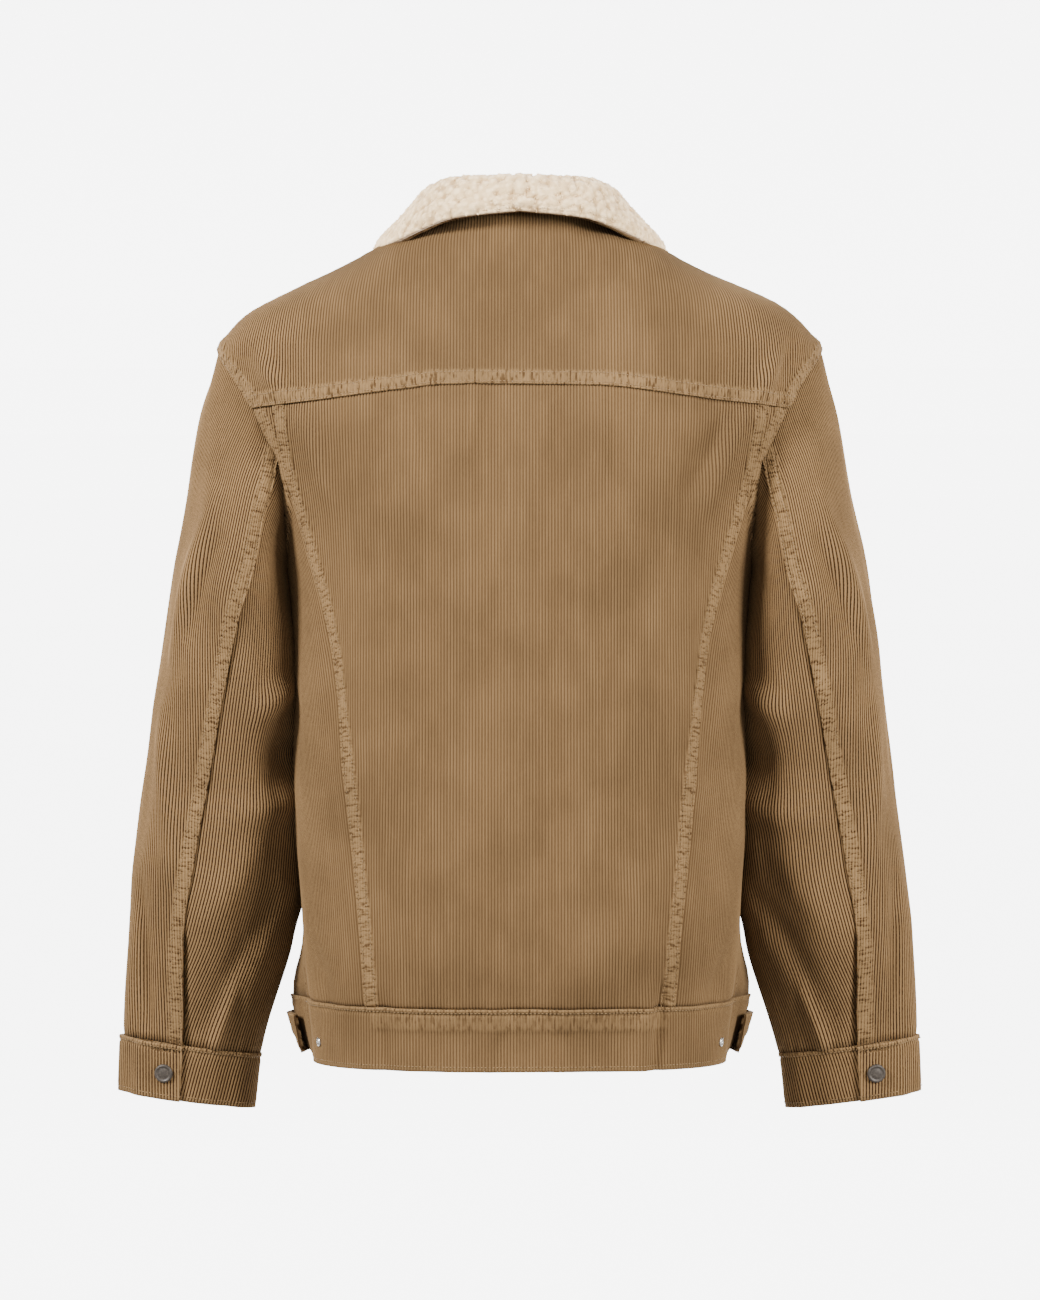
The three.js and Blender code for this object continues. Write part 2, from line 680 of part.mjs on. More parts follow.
// Sleeve grids: the under sleeve from the inner seam to the back seam, the top sleeve the rest
const UPPER_ROWS = [0, 0.035, 0.08, 0.13, 0.19, 0.26, 0.34, 0.42];
const SLEEVE_ROWS = [...UPPER_ROWS, 0.5, 0.58, 0.66, 0.74, VENT_TOP_W, 0.87, CUFF_TOP_W];
const topSleeveRounds = [
  SLEEVE_SEAM_AT_TOP,
  ...sleeveFell,
  78,
  ...yokeRounds,
  ...frontRounds.slice(1),
];

function roundsAt(rounds, w) {
  const start = sleeveSeam(w);
  const first = rounds[0];
  const last = rounds[rounds.length - 1];
  if (first === SLEEVE_SEAM_AT_TOP) {
    return rounds.map((r) => last + ((r - last) * (start - last)) / (first - last));
  }
  return rounds.map((r) => first + ((r - first) * (start - first)) / (last - first));
}

const onSleeve = (place) => sleeve(place.turn, place.level);

const underSleeveGrid = SLEEVE_ROWS.map((w) =>
  roundsAt(underSleeveRounds, w).map((turn) => ({ turn, level: w })),
);
const topSleeveGrid = SLEEVE_ROWS.map((w, j) => {
  const line = roundsAt(topSleeveRounds, w).map((turn) => ({ turn, level: w }));
  if (j === 0) return line;
  const head = respace(line.slice(0, 5), onSleeve, fellBand, []);
  return [...head, ...line.slice(5)];
});

// Cuff: one strip round the wrist whose outer end laps over its inner end
const CUFF_ROWS = [CUFF_TOP_W, 0.96, 1.0];
const CUFF_START = 58;
const CUFF_END = 446;
const CUFF_LIFT = CUFF_WALL + 0.5;
const cuffRounds = [CUFF_START, 72, 86, ...lerpList(105, 375, 15), 392, 408, 420, 433, CUFF_END];
const cuffLift = (round) => CUFF_LIFT * clamp((round - 392) / 16, 0, 1);

const shades = {
  cloth: [0x9c7e5c, 0.95, 0.0],
  pile: [0xdccfbf, 1.0, 0.0],
  snap: [0x463e36, 0.45, 0.8],
  stud: [0xb8b4ac, 0.3, 1.0],
};

const jacket = new THREE.Group();
jacket.name = "sherpa_collar_corduroy_jacket";

function add(name, geometry, shade, mirror = false) {
  const [color, roughness, metalness] = shades[shade];
  const shape = geometry.clone();
  if (mirror) {
    shape.scale(-1, 1, 1);
    const index = shape.getIndex();
    for (let k = 0; k < index.count; k += 3) {
      const b = index.getX(k + 1);
      index.setX(k + 1, index.getX(k + 2));
      index.setX(k + 2, b);
    }
  }
  const mesh = new THREE.Mesh(shape, new THREE.MeshStandardMaterial({ color, roughness, metalness }));
  mesh.name = name;
  jacket.add(mesh);
}

// Body panels
add(
  "back_centre",
  clothWall(centreGrid, at, normalAt, BODY_WALL, (i) => (inBand(i, CENTRE_COLUMNS) ? FELL_RISE : 0)),
  "cloth",
);
const sideRise = (i, j) => (i < 2 && j > 13 ? FELL_RISE : 0);
const sideWall = clothWall(sideGrid, at, normalAt, BODY_WALL, sideRise);
add("back_side_left", sideWall, "cloth");
add("back_side_right", sideWall, "cloth", true);
const yokeRise = (i, j) =>
  j < 2 || (inBand(i, yokeColumns) && j < yokeRounds.length) ? FELL_RISE : 0;
add("yoke_back", clothWall(yokeGrid, at, normalAt, BODY_WALL, yokeRise), "cloth");
const frontRise = (i, j) => (i < 2 && j > 11 ? FELL_RISE : 0);
const frontLift = (i) => (i > FRONT_COLUMNS - 3 ? LAP_LIFT : 0);
add(
  "front_left",
  clothWall(leftFrontGrid, at, normalAt, BODY_WALL, frontRise, frontLift),
  "cloth",
);
add(
  "front_right",
  clothWall(rightFrontGrid, at, normalAt, BODY_WALL, frontRise),
  "cloth",
  true,
);

// Waistband
const bandRise = () => BAND_RISE;
add("waistband_back", clothWall(backBandGrid, at, normalAt, BAND_WALL, bandRise), "cloth");
add(
  "waistband_front_left",
  clothWall(frontBandGrid(leftFrontGrid, LEFT_FRONT_PAST), at, normalAt, BAND_WALL, bandRise, (i) =>
    i > FRONT_COLUMNS - 3 ? BAND_WALL + BAND_RISE + 0.6 : 0,
  ),
  "cloth",
);
add(
  "waistband_front_right",
  clothWall(frontBandGrid(rightFrontGrid, RIGHT_FRONT_PAST), at, normalAt, BAND_WALL, bandRise),
  "cloth",
  true,
);

// Sleeves and cuffs
const ventDrop = (i, j) => (i === underSleeveRounds.length - 1 && j > 12 ? -0.8 : 0);
const underSleeve = clothWall(underSleeveGrid, onSleeve, sleeveNormalAt, SLEEVE_WALL, ventDrop);
const topRise = (i, j) => (i < 2 && j > 0 ? FELL_RISE : 0);
const topSleeve = clothWall(topSleeveGrid, onSleeve, sleeveNormalAt, SLEEVE_WALL, topRise);
const cuffGrid = CUFF_ROWS.map((level) => cuffRounds.map((turn) => ({ turn, level })));
const cuff = clothWall(
  cuffGrid,
  onSleeve,
  sleeveNormalAt,
  CUFF_WALL,
  () => BAND_RISE,
  (i) => cuffLift(cuffRounds[i]),
);
for (const [side, mirror] of [["left", false], ["right", true]]) {
  add("sleeve_top_" + side, topSleeve, "cloth", mirror);
  add("sleeve_under_" + side, underSleeve, "cloth", mirror);
  add("cuff_" + side, cuff, "cloth", mirror);
}

// Collar: pile on the upper face, cloth on the under face
const COLLAR_STATIONS = lerpList(-1, 1, 22);
const COLLAR_ALONG = [0, 0.17, 0.33, 0.42, 0.5, 0.58, 0.67, 0.78, 0.9, 1];
const collarGrid = COLLAR_STATIONS.map((turn) => COLLAR_ALONG.map((level) => ({ turn, level })));
const onCollar = (place) => collar(place.turn, place.level);
const collarNormalAt = (place) => collarNormal(place.turn, place.level);
const pileHeight = (along) => PILE * Math.sqrt(clamp((1.06 - along) / 0.26, 0.12, 1));

function collarWall(outerOffset, innerOffset) {
  const side = Math.sign(collarNormal(0, 0.5).z);
  const grids = [outerOffset, innerOffset].map((offset) =>
    collarGrid.map((line) =>
      line.map((place) => {
        const push = side * offset(place.level);
        return onCollar(place).addScaledVector(collarNormalAt(place), push);
      }),
    ),
  );
  return wallGeometry(...grids);
}

add("collar_top", collarWall((along) => 0.15 + pileHeight(along), () => 0.15), "pile");
add("collar_under", collarWall(() => -0.15, () => -0.15 - UNDER_COLLAR_WALL), "cloth");

// Waist tabs: strips on the front waistband whose rear end stands off
function tabWall() {
  const turns = lerpList(TAB.fromTurn, TAB.toTurn, 5);
  const levels = lerpList(TAB.low, TAB.high, 2).map(levelAt);
  const grid = levels.map((level) => turns.map((turn) => ({ turn, level })));
  const off = turns.map((_, i) => BAND_RISE + 0.4 + TAB.wall + TAB.stand * (i / 5) ** 2);
  return clothWall(grid, at, normalAt, TAB.wall, null, (i) => off[i]);
}
add("tab_left", tabWall(), "cloth");
add("tab_right", tabWall(), "cloth", true);

// Round cap standing on a point of the cloth, dished at the top.
function cap(point, normal, radius, height) {
  const profile = [
    [0, 0],
    [radius * 0.94, 0],
    [radius, height * 0.35],
    [radius * 0.86, height],
    [radius * 0.55, height * 0.82],
    [0, height * 0.78],
  ];
  const around = 12;
  const across = new THREE.Vector3(0, 0, 1).cross(normal).normalize();
  const up = normal.clone().cross(across);
  const points = [];
  const rings = profile.map(([r, h]) => {
    const base = point.clone().addScaledVector(normal, h);
    if (r === 0) return [points.push(base) - 1];
    return lerpList(0, 360, around)
      .slice(0, -1)
      .map((a) => {
        const p = base.clone().addScaledVector(across, r * Math.cos(a * DEG));
        return points.push(p.addScaledVector(up, r * Math.sin(a * DEG))) - 1;
      });
  });
  const faces = [];
  for (let k = 0; k < rings.length - 1; k++) {
    const [low, high] = [rings[k], rings[k + 1]];
    for (let i = 0; i < around; i++) {
      const j = (i + 1) % around;
      if (low.length > 1) faces.push(low[i], low[j], high[high.length > 1 ? j : 0]);
      if (high.length > 1) faces.push(low[low.length > 1 ? i : 0], high[j], high[i]);
    }
  }
  return facingOut(points, faces);
}

function bodyCap(place, off, radius, height) {
  const normal = normalAt(place);
  return cap(at(place).addScaledVector(normal, off), normal, radius, height);
}

// Front snaps on the upper front, one on the waistband, bright studs and tab snaps
const lapTop = LAP_LIFT + 0.5;
FRONT_SNAP_HEIGHTS.forEach((z, k) => {
  add("snap_front_" + (k + 1), bodyCap(onFront(0, z), lapTop, SNAP_RADIUS, SNAP_HEIGHT), "snap");
});
const bandTop = 2 * BAND_RISE + BAND_WALL + 1.1;
add("snap_waistband", bodyCap(onFront(0, BAND_SNAP_HEIGHT), bandTop, SNAP_RADIUS, SNAP_HEIGHT), "snap");
const studCap = bodyCap(onBack(BAND_STUD.x, BAND_STUD.z), BAND_RISE + 0.4, STUD_RADIUS, STUD_HEIGHT);
const tabPlace = { turn: -14, level: levelAt(-633) };
const tabSnap = bodyCap(tabPlace, BAND_RISE + TAB.wall + 2.9, SNAP_RADIUS * 0.9, SNAP_HEIGHT);
const cuffPlace = { turn: CUFF_SNAP.turn, level: CUFF_SNAP.w };
const cuffNormal = sleeveNormalAt(cuffPlace);
const cuffTop = onSleeve(cuffPlace).addScaledVector(cuffNormal, CUFF_LIFT + BAND_RISE + 0.5);
const cuffSnap = cap(cuffTop, cuffNormal, SNAP_RADIUS, SNAP_HEIGHT);
for (const [side, mirror] of [["left", false], ["right", true]]) {
  add("stud_" + side, studCap, "stud", mirror);
  add("snap_tab_" + side, tabSnap, "snap", mirror);
  add("snap_cuff_" + side, cuffSnap, "snap", mirror);
}

export default jacket;
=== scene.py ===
"""Blender scene of a pile-collared corduroy jacket, filled out as worn and seen from behind.

The cloth shells follow the solids' form. The rib of the corduroy, its felled seams, stitches,
folds and curly pile are made here. Sizes in the tables are millimetres.
"""

import math

import bpy
import numpy as np
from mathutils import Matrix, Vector
from mathutils.bvhtree import BVHTree
from mathutils.kdtree import KDTree


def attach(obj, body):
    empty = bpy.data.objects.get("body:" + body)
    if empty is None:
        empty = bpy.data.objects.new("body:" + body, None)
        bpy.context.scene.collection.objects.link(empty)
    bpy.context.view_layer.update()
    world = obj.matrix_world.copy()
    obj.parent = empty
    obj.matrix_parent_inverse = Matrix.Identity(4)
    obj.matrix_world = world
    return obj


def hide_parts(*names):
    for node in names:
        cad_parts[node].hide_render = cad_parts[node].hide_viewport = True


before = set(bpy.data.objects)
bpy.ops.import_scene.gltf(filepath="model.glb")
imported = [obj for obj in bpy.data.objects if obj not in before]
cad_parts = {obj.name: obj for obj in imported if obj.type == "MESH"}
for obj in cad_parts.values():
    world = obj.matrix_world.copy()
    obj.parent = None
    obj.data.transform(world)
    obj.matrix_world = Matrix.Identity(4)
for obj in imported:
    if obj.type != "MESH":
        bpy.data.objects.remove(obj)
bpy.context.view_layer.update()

bl_info = {
    "name": "Pile Collar Corduroy Jacket",
    "version": (1, 0, 0),
    "blender": (4, 5, 0),
    "location": "View3D > Sidebar > Jacket",
    "description": "Builds the cloth, pile, seams and fastenings of a corduroy jacket on its frame",
    "category": "Object",
}

MM = 0.001

# Level sections of the body: height, half width, depth to the back, to the front, squareness
BODY = np.array(
    [
        (-655, 163.0, 113, 120, 2.5),
        (-630, 165.0, 115, 122, 2.5),
        (-606, 168.0, 119, 126, 2.5),
        (-560, 173.0, 126, 131, 2.5),
        (-450, 174.5, 129, 136, 2.5),
        (-378, 175.2, 130, 138, 2.5),
        (-324, 176.5, 130, 138, 2.45),
        (-270, 180.0, 129, 136, 2.4),
        (-245, 185.0, 128, 134, 2.4),
        (-200, 198.0, 125, 129, 2.4),
        (-175, 208.0, 122, 124, 2.4),
        (-155, 219.0, 120, 118, 2.4),
        (-137, 226.0, 117, 111, 2.35),
        (-112, 234.0, 112, 99, 2.3),
        (-88, 240.0, 105, 87, 2.2),
        (-72, 230.0, 101, 80, 2.1),
        (-56, 212.0, 97, 75, 2.05),
        (-40, 180.0, 93, 71, 2.0),
        (-24, 145.0, 89, 67, 2.0),
        (-10, 116.0, 84, 64, 2.0),
        (4, 86.0, 80, 61, 2.0),
        (18, 76.0, 76, 58, 2.0),
    ]
)
# How far the front edge of each side swings out over the waistband: height, distance
SWING = np.array([(-655, 3), (-640, 12), (-608, 20), (-590, 16), (-565, 6), (-530, 0)], float)
# Neck seam: angle round the neck, height
NECK = np.array(
    [(-120, -68), (-90, -76), (-60, -48), (-30, -14), (0, 4), (30, 9), (60, 14), (90, 16)], float
)
# Yoke seam: distance from the centre, height
YOKE = np.array(
    [
        (0, -121.5),
        (60, -122.5),
        (100, -126.5),
        (130, -130),
        (160, -133.5),
        (194, -136),
        (222, -138),
    ]
)
# Slanting back seam: height, distance from the centre
BACK_SEAM = np.array(
    [
        (-606, 120.3),
        (-521, 126.9),
        (-444, 134.6),
        (-356, 145),
        (-284, 156.3),
        (-252, 164.6),
        (-184, 183.5),
        (-136, 194),
    ]
)
# Sleeve: share of length, outermost x and z, innermost x and z, middle and half depth, back seam
SLEEVE = np.array(
    [
        (0.0, 240, -88, 185, -245, 0, 68, 96),
        (0.1, 256, -145, 190, -266, 0, 76, 105),
        (0.2, 266, -208, 187, -296, -2, 80, 107),
        (0.3, 275, -256, 182.5, -335, -4, 78, 100),
        (0.42, 286, -325, 179, -385, -7, 71, 91),
        (0.55, 297, -405, 178, -450, -12, 62, 83),
        (0.68, 308, -480, 177.5, -512, -18, 53, 77),
        (0.8, 315, -545, 184, -562, -24, 44, 74),
        (0.925, 321, -638, 210, -653, -31, 28, 85),
        (1.0, 323, -683, 215, -697, -34, 25, 86),
    ]
)
# Soft ridges down the sleeve: angle, from, to, width in degrees, height
SLEEVE_RIDGES = [
    (48, 0.2, 0.5, 15, 3.0),
    (150, 0.3, 0.62, 20, -3.0),
    (-70, 0.3, 0.6, 20, -3.5),
    (20, 0.5, 0.8, 18, -2.5),
]
# Collar from the centre back to its front end: share, neck angle, fold x y z, edge x y z
COLLAR = np.array(
    [
        (0.0, 90, 0, 84, 35.5, 0, 93, 14),
        (0.18, 60, 43, 74, 35.5, 50, 85, 9),
        (0.36, 30, 68, 45, 31, 94, 54, -6),
        (0.52, 0, 76, 2, 22, 115, 6, -13.5),
        (0.7, -32, 71, -44, 5, 116, -46, -18),
        (0.86, -54, 50, -70, -24, 101, -90, -66),
        (1.0, -72, 27, -83, -50, 70, -112, -112),
    ]
)
# Folds of the body seen from behind: from x z, to x z, width, height
BODY_FOLDS = [
    (-172, -150, -148, -215, 9, 1.6),
    (-160, -150, -128, -205, 8, -1.2),
    (168, -150, 150, -210, 9, 1.4),
    (-150, -300, -142, -420, 9, -1.6),
    (150, -290, 141, -400, 9, -1.5),
    (-60, -130, -64, -185, 7, 1.0),
    (-30, -130, -28, -175, 6, -0.8),
    (36, -130, 40, -180, 7, 0.9),
    (84, -132, 80, -190, 8, -0.9),
    (-112, -590, -104, -660, 5, -2.0),
    (-100, -590, -92, -660, 7, 1.4),
    (108, -600, 104, -660, 6, -1.2),
    (20, -600, 24, -660, 7, 0.8),
    (-205, -96, -186, -128, 8, 2.4),
    (-216, -84, -200, -118, 6, -1.6),
    (206, -96, 188, -126, 8, 2.2),
    (-168, -560, -150, -604, 8, -1.6),
    (168, -560, 152, -604, 8, -1.6),
    (-120, -480, -40, -600, 22, 1.2),
    (110, -470, 50, -600, 24, 1.2),
]
# Creases of the sleeve: from angle w, to angle w, width in mm, height
SLEEVE_FOLDS = [
    (60, 0.16, 40, 0.42, 8, 1.8),
    (70, 0.2, 55, 0.38, 6, -1.2),
    (150, 0.36, 118, 0.44, 10, 2.8),
    (172, 0.46, 128, 0.5, 13, -2.4),
    (160, 0.54, 105, 0.6, 12, 2.2),
    (35, 0.5, 62, 0.72, 9, 1.6),
    (120, 0.62, 92, 0.8, 12, 1.8),
    (30, 0.74, 52, 0.91, 7, -1.4),
    (140, 0.72, 100, 0.9, 10, -1.6),
    (118, 0.86, 112, 0.93, 5, 1.6),
    (-60, 0.3, -100, 0.5, 14, -2.4),
    (-40, 0.45, -90, 0.62, 12, 2.0),
]
ARM_BACK, ARM_FRONT = 17.4, 19.0
SHOULDER_Z, UNDERARM_Z, BAND_Z, HEM_Z = -88, -245, -606, -655
BLEND_W, CUFF_W, VENT_W = 0.32, 0.925, 0.8
CUFF_LIFT = 3.1
LAP_LIFT = 3.6
# Walls of the cloth shells, and how far the waistband stands off the body surface
BODY_WALL, BAND_WALL, TAB_WALL = 3.0, 3.2, 2.4
SLEEVE_WALL, CUFF_WALL, UNDER_COLLAR_WALL = 2.4, 2.6, 1.8
BAND_RISE = 1.0
# Run from the armhole to the cuff's end, for a sleeve's share of length 1
SLEEVE_RUN = 600.0
# Run of a degree round the sleeve
SLEEVE_DEGREE = 1.15
# Depth that the listed folds are given beside the heights in their tables
BODY_FOLD_DEPTH, SLEEVE_FOLD_DEPTH = 3.0, 3.2
# Side of the jacket, and whether its piece is built as the left one's mirror image
SIDES = (("left", False), ("right", True))
# The same for the fronts, with how far the free edge passes the centre
FRONT_SIDES = (("left", 20, False), ("right", 10, True))
# Distance from a felled seam's edge to its row of stitches
STITCH_INSET = 1.9
# Height of a rib at four even places across it
RIB_SHAPE = np.array([0.0, 0.8, 1.0, 0.8])
# Snap caps and studs: radius, height
CAP, TAB_CAP, STUD = (7.5, 2.4), (6.75, 2.4), (3.6, 1.6)
# Where they sit: height, distance from the centre or angle, and share of the sleeve's length
FRONT_SNAP_HEIGHTS = (-110, -208, -306, -404, -502)
WAIST_SNAP_HEIGHT = -631
STUD_X, STUD_Z = 157, -637
TAB_SNAP_TURN, TAB_SNAP_Z = -14, -633
CUFF_SNAP_ROUND, CUFF_SNAP_W = 72, 0.963
# Waist tabs: angles of the two ends, heights of the two edges, height of the rear end
TAB_FROM, TAB_TO, TAB_LOW, TAB_HIGH, TAB_STAND = -33, -3, -648, -618, 6
# Camera and lamps, in metres, and the strength of each light
CAMERA_PLACE, CAMERA_LENS, CAMERA_SENSOR = (0, 3.5, -0.328), 121.15, 36
WORLD_LIGHT = 0.8
BACKDROP_GLOW = 3.95
LAMPS = [
    ("key", (2.3, 1.8, 1.1), (0.7, 0.7), 270),
    ("fill", (-2.4, 2.0, 0.5), (1.0, 1.0), 215),
]
LAMP_AIM = (0, 0, -0.35)
# Backdrop, in metres: half width, floor height, front edge, start of the curve, its radius, top
PAPER_HALF, FLOOR_Z, FLOOR_FRONT = 7.0, -0.98, -0.3
CURVE_START, CURVE_RADIUS, PAPER_TOP = -2.2, 1.2, 5.0


class JacketSettings(bpy.types.PropertyGroup):
    """Sizes and colours of the jacket's finish."""

    rib_pitch: bpy.props.FloatProperty(
        name="Rib pitch",
        description="Distance from one rib of the corduroy to the next",
        default=2.45 * MM,
        unit="LENGTH",
    )
    rib_height: bpy.props.FloatProperty(
        name="Rib height",
        description="Height of a rib above the groove beside it",
        default=0.6 * MM,
        unit="LENGTH",
    )
    row_step: bpy.props.FloatProperty(
        name="Row step",
        description="Distance between rows of points along a rib",
        default=7 * MM,
        unit="LENGTH",
    )
    fell_width: bpy.props.FloatProperty(
        name="Seam width",
        description="Width of a felled seam",
        default=11.5 * MM,
        unit="LENGTH",
    )
    fell_rise: bpy.props.FloatProperty(
        name="Seam rise",
        description="Height of a felled seam above the cloth beside it",
        default=1.6 * MM,
        unit="LENGTH",
    )
    stitch_pitch: bpy.props.FloatProperty(
        name="Stitch pitch",
        description="Distance from one stitch to the next",
        default=3.1 * MM,
        unit="LENGTH",
    )
    pile_depth: bpy.props.FloatProperty(
        name="Pile depth",
        description="Depth of the collar's curly pile",
        default=6.2 * MM,
        unit="LENGTH",
    )
    cloth: bpy.props.FloatVectorProperty(
        name="Cloth",
        description="Colour of the corduroy on its ribs",
        default=(0.152, 0.091, 0.041),
        subtype="COLOR",
    )
    # The groove colour is painted shade: it darkens the corduroy between its ribs, where shade falls.
    groove: bpy.props.FloatVectorProperty(
        name="Groove",
        description="Colour of the corduroy between its ribs",
        default=(0.027, 0.011, 0.0033),
        subtype="COLOR",
    )
    # The worn colour paints streaks of wear along the ribs and the crests of the raised seams' puckers.
    # On the seams it is partly wear and partly painted highlight.
    worn: bpy.props.FloatVectorProperty(
        name="Worn cloth",
        description="Colour of the corduroy on raised seams",
        default=(0.203, 0.124, 0.056),
        subtype="COLOR",
    )
    thread: bpy.props.FloatVectorProperty(
        name="Thread",
        description="Colour of the sewing thread",
        default=(0.21, 0.127, 0.055),
        subtype="COLOR",
    )
    pile: bpy.props.FloatVectorProperty(
        name="Pile",
        description="Colour of the collar's pile",
        default=(0.87, 0.65, 0.37),
        subtype="COLOR",
    )
    snap: bpy.props.FloatVectorProperty(
        name="Snap",
        description="Colour of the darkened snap caps",
        default=(0.032, 0.025, 0.019),
        subtype="COLOR",
    )


def ease(t):
    k = np.clip(t, 0, 1)
    return k * k * (3 - 2 * k)


def curve(xs, ys):
    """Smooth curve through the points that never overshoots them."""
    xs, ys = np.asarray(xs, float), np.asarray(ys, float)
    h = np.diff(xs)
    d = np.diff(ys) / h
    m = np.zeros(len(xs))
    m[0], m[-1] = d[0], d[-1]
    for i in range(1, len(xs) - 1):
        if d[i - 1] * d[i] > 0:
            wide, near = 2 * h[i] + h[i - 1], h[i] + 2 * h[i - 1]
            m[i] = (wide + near) / (wide / d[i - 1] + near / d[i])

    def at(x):
        x = np.asarray(x, float)
        i = np.clip(np.searchsorted(xs, x) - 1, 0, len(h) - 1)
        t = np.clip((x - xs[i]) / h[i], 0, 1)
        return (
            (1 + 2 * t) * (1 - t) ** 2 * ys[i]
            + t * (1 - t) ** 2 * h[i] * m[i]
            + t * t * (3 - 2 * t) * ys[i + 1]
            + t * t * (t - 1) * h[i] * m[i + 1]
        )

    return at


LEVELS = np.concatenate([[0], np.cumsum(np.hypot(np.diff(BODY[:, 1]), np.diff(BODY[:, 0])))])
TOP = LEVELS[-1]
level_z, level_side, level_back, level_front, level_power = (curve(LEVELS, BODY[:, k]) for k in range(5))
swing_out = curve(SWING[:, 0], SWING[:, 1])
neck_z = curve(NECK[:, 0], NECK[:, 1])
yoke_z = curve(YOKE[:, 0], YOKE[:, 1])
seam_x = curve(BACK_SEAM[:, 0], BACK_SEAM[:, 1])
_fine = np.linspace(0, TOP, 6000)
_fine_z = level_z(_fine)


def level_at(z):
    return np.interp(z, _fine_z, _fine)


def body(turn, level):
    """Body surface at an angle in degrees (0 left side, 90 centre back) and a level."""
    turn, level = np.broadcast_arrays(np.asarray(turn, float), np.asarray(level, float))
    c, s = np.cos(np.radians(turn)), np.sin(np.radians(turn))
    z = level_z(level)
    power = level_power(level)
    depth = np.where(s > 0, level_back(level), level_front(level))
    r = (np.abs(c / level_side(level)) ** power + np.abs(s / depth) ** power) ** (-1 / power)
    from_side = np.degrees(np.arcsin(np.clip(s, -1, 1)))
    swing = ease((4 - from_side) / 18) * (1 - ease((-30 - from_side) / 35))
    out = np.where(z < -530, swing_out(z) * swing * np.sign(c), 0)
    return np.stack([r * c + out, r * s, z], -1)


def unit(v):
    return v / np.maximum(np.linalg.norm(v, axis=-1, keepdims=True), 1e-9)


def normal_of(surface, u, v, du, dv):
    across = surface(u + du, v) - surface(u - du, v)
    up = surface(u, v + dv) - surface(u, v - dv)
    return unit(np.cross(across, up))


def body_normal(turn, level):
    return normal_of(body, turn, np.clip(level, 1, TOP - 1), 0.5, 1.0)


_turns = np.linspace(0, 90, 721)
_seam_levels = np.linspace(level_at(-606), level_at(-120), 200)
_seam_turns = np.array(
    [
        np.interp(-seam_x(level_z(v)), -body(_turns, v)[:, 0], _turns)
        for v in _seam_levels
    ]
)


def seam_turn(level):
    """Angle of the slanting back seam at a level."""
    return np.interp(level, _seam_levels, _seam_turns)


def _yoke_levels():
    z = np.full(_turns.shape, -126.0)
    for _ in range(12):
        z = yoke_z(np.abs(body(_turns, level_at(z))[:, 0]))
    return level_at(z)


_yoke = _yoke_levels()


def yoke_level(turn):
    t = np.where(turn > 90, 180 - turn, turn)
    return np.interp(t, _turns, _yoke)


def neck_level(turn):
    t = np.where(turn > 90, 180 - turn, turn)
    return level_at(neck_z(t))


def arm_turn(level, reach):
    """Angle of the armhole's edge at a level; the shoulder and side seams are at 0."""
    z = level_z(level)
    c = np.clip((z - (SHOULDER_Z + UNDERARM_Z) / 2) / ((SHOULDER_Z - UNDERARM_Z) / 2), -1, 1)
    return reach * np.sqrt(1 - c * c) * (1 - 0.2 * c - 0.2 * c * c)


def armhole(round_):
    c, s = np.cos(np.radians(round_)), np.sin(np.radians(round_))
    z = (SHOULDER_Z + UNDERARM_Z) / 2 + (SHOULDER_Z - UNDERARM_Z) / 2 * c
    reach = np.where(s > 0, ARM_BACK, ARM_FRONT)
    return reach * s * (1 - 0.2 * c - 0.2 * c * c), level_at(z)


sleeve_cols = [curve(SLEEVE[:, 0], SLEEVE[:, k]) for k in range(1, 8)]
sleeve_seam = sleeve_cols[6]


def sleeve_tube(round_, w):
    out_x, out_z, in_x, in_z, mid, half = (f(w) for f in sleeve_cols[:6])
    c, s = np.cos(np.radians(round_)), np.sin(np.radians(round_))
    x = (out_x * (1 + c) + in_x * (1 - c)) / 2
    z = (out_z * (1 + c) + in_z * (1 - c)) / 2
    return np.stack([x, mid + half * s, z], -1)


def sleeve(round_, w):
    """Left sleeve at an angle (0 outermost, 90 back) and a share of its length."""
    round_, w = np.broadcast_arrays(np.asarray(round_, float), np.asarray(w, float))
    p = sleeve_tube(round_, w)
    keep = (1 - ease(w / BLEND_W))[..., None]
    p = p + (body(*armhole(round_)) - sleeve_tube(round_, np.zeros_like(w))) * keep
    ridge = np.zeros_like(p[..., 0])
    for turn, start, end, wide, high in SLEEVE_RIDGES:
        off = (np.abs((round_ - turn + 540) % 360 - 180)) / wide
        run = np.clip((w - start) / (end - start), 0, 1)
        ridge += high * np.exp(-off * off) * np.sin(np.pi * run)
    p[..., 0] += ridge * np.cos(np.radians(round_))
    p[..., 1] += ridge * np.sin(np.radians(round_))
    return p


def sleeve_normal(round_, w):
    return -normal_of(sleeve, round_, np.clip(w, 0.004, 0.996), 1.0, 0.004)


collar_cols = [curve(COLLAR[:, 0], COLLAR[:, k]) for k in range(1, 8)]


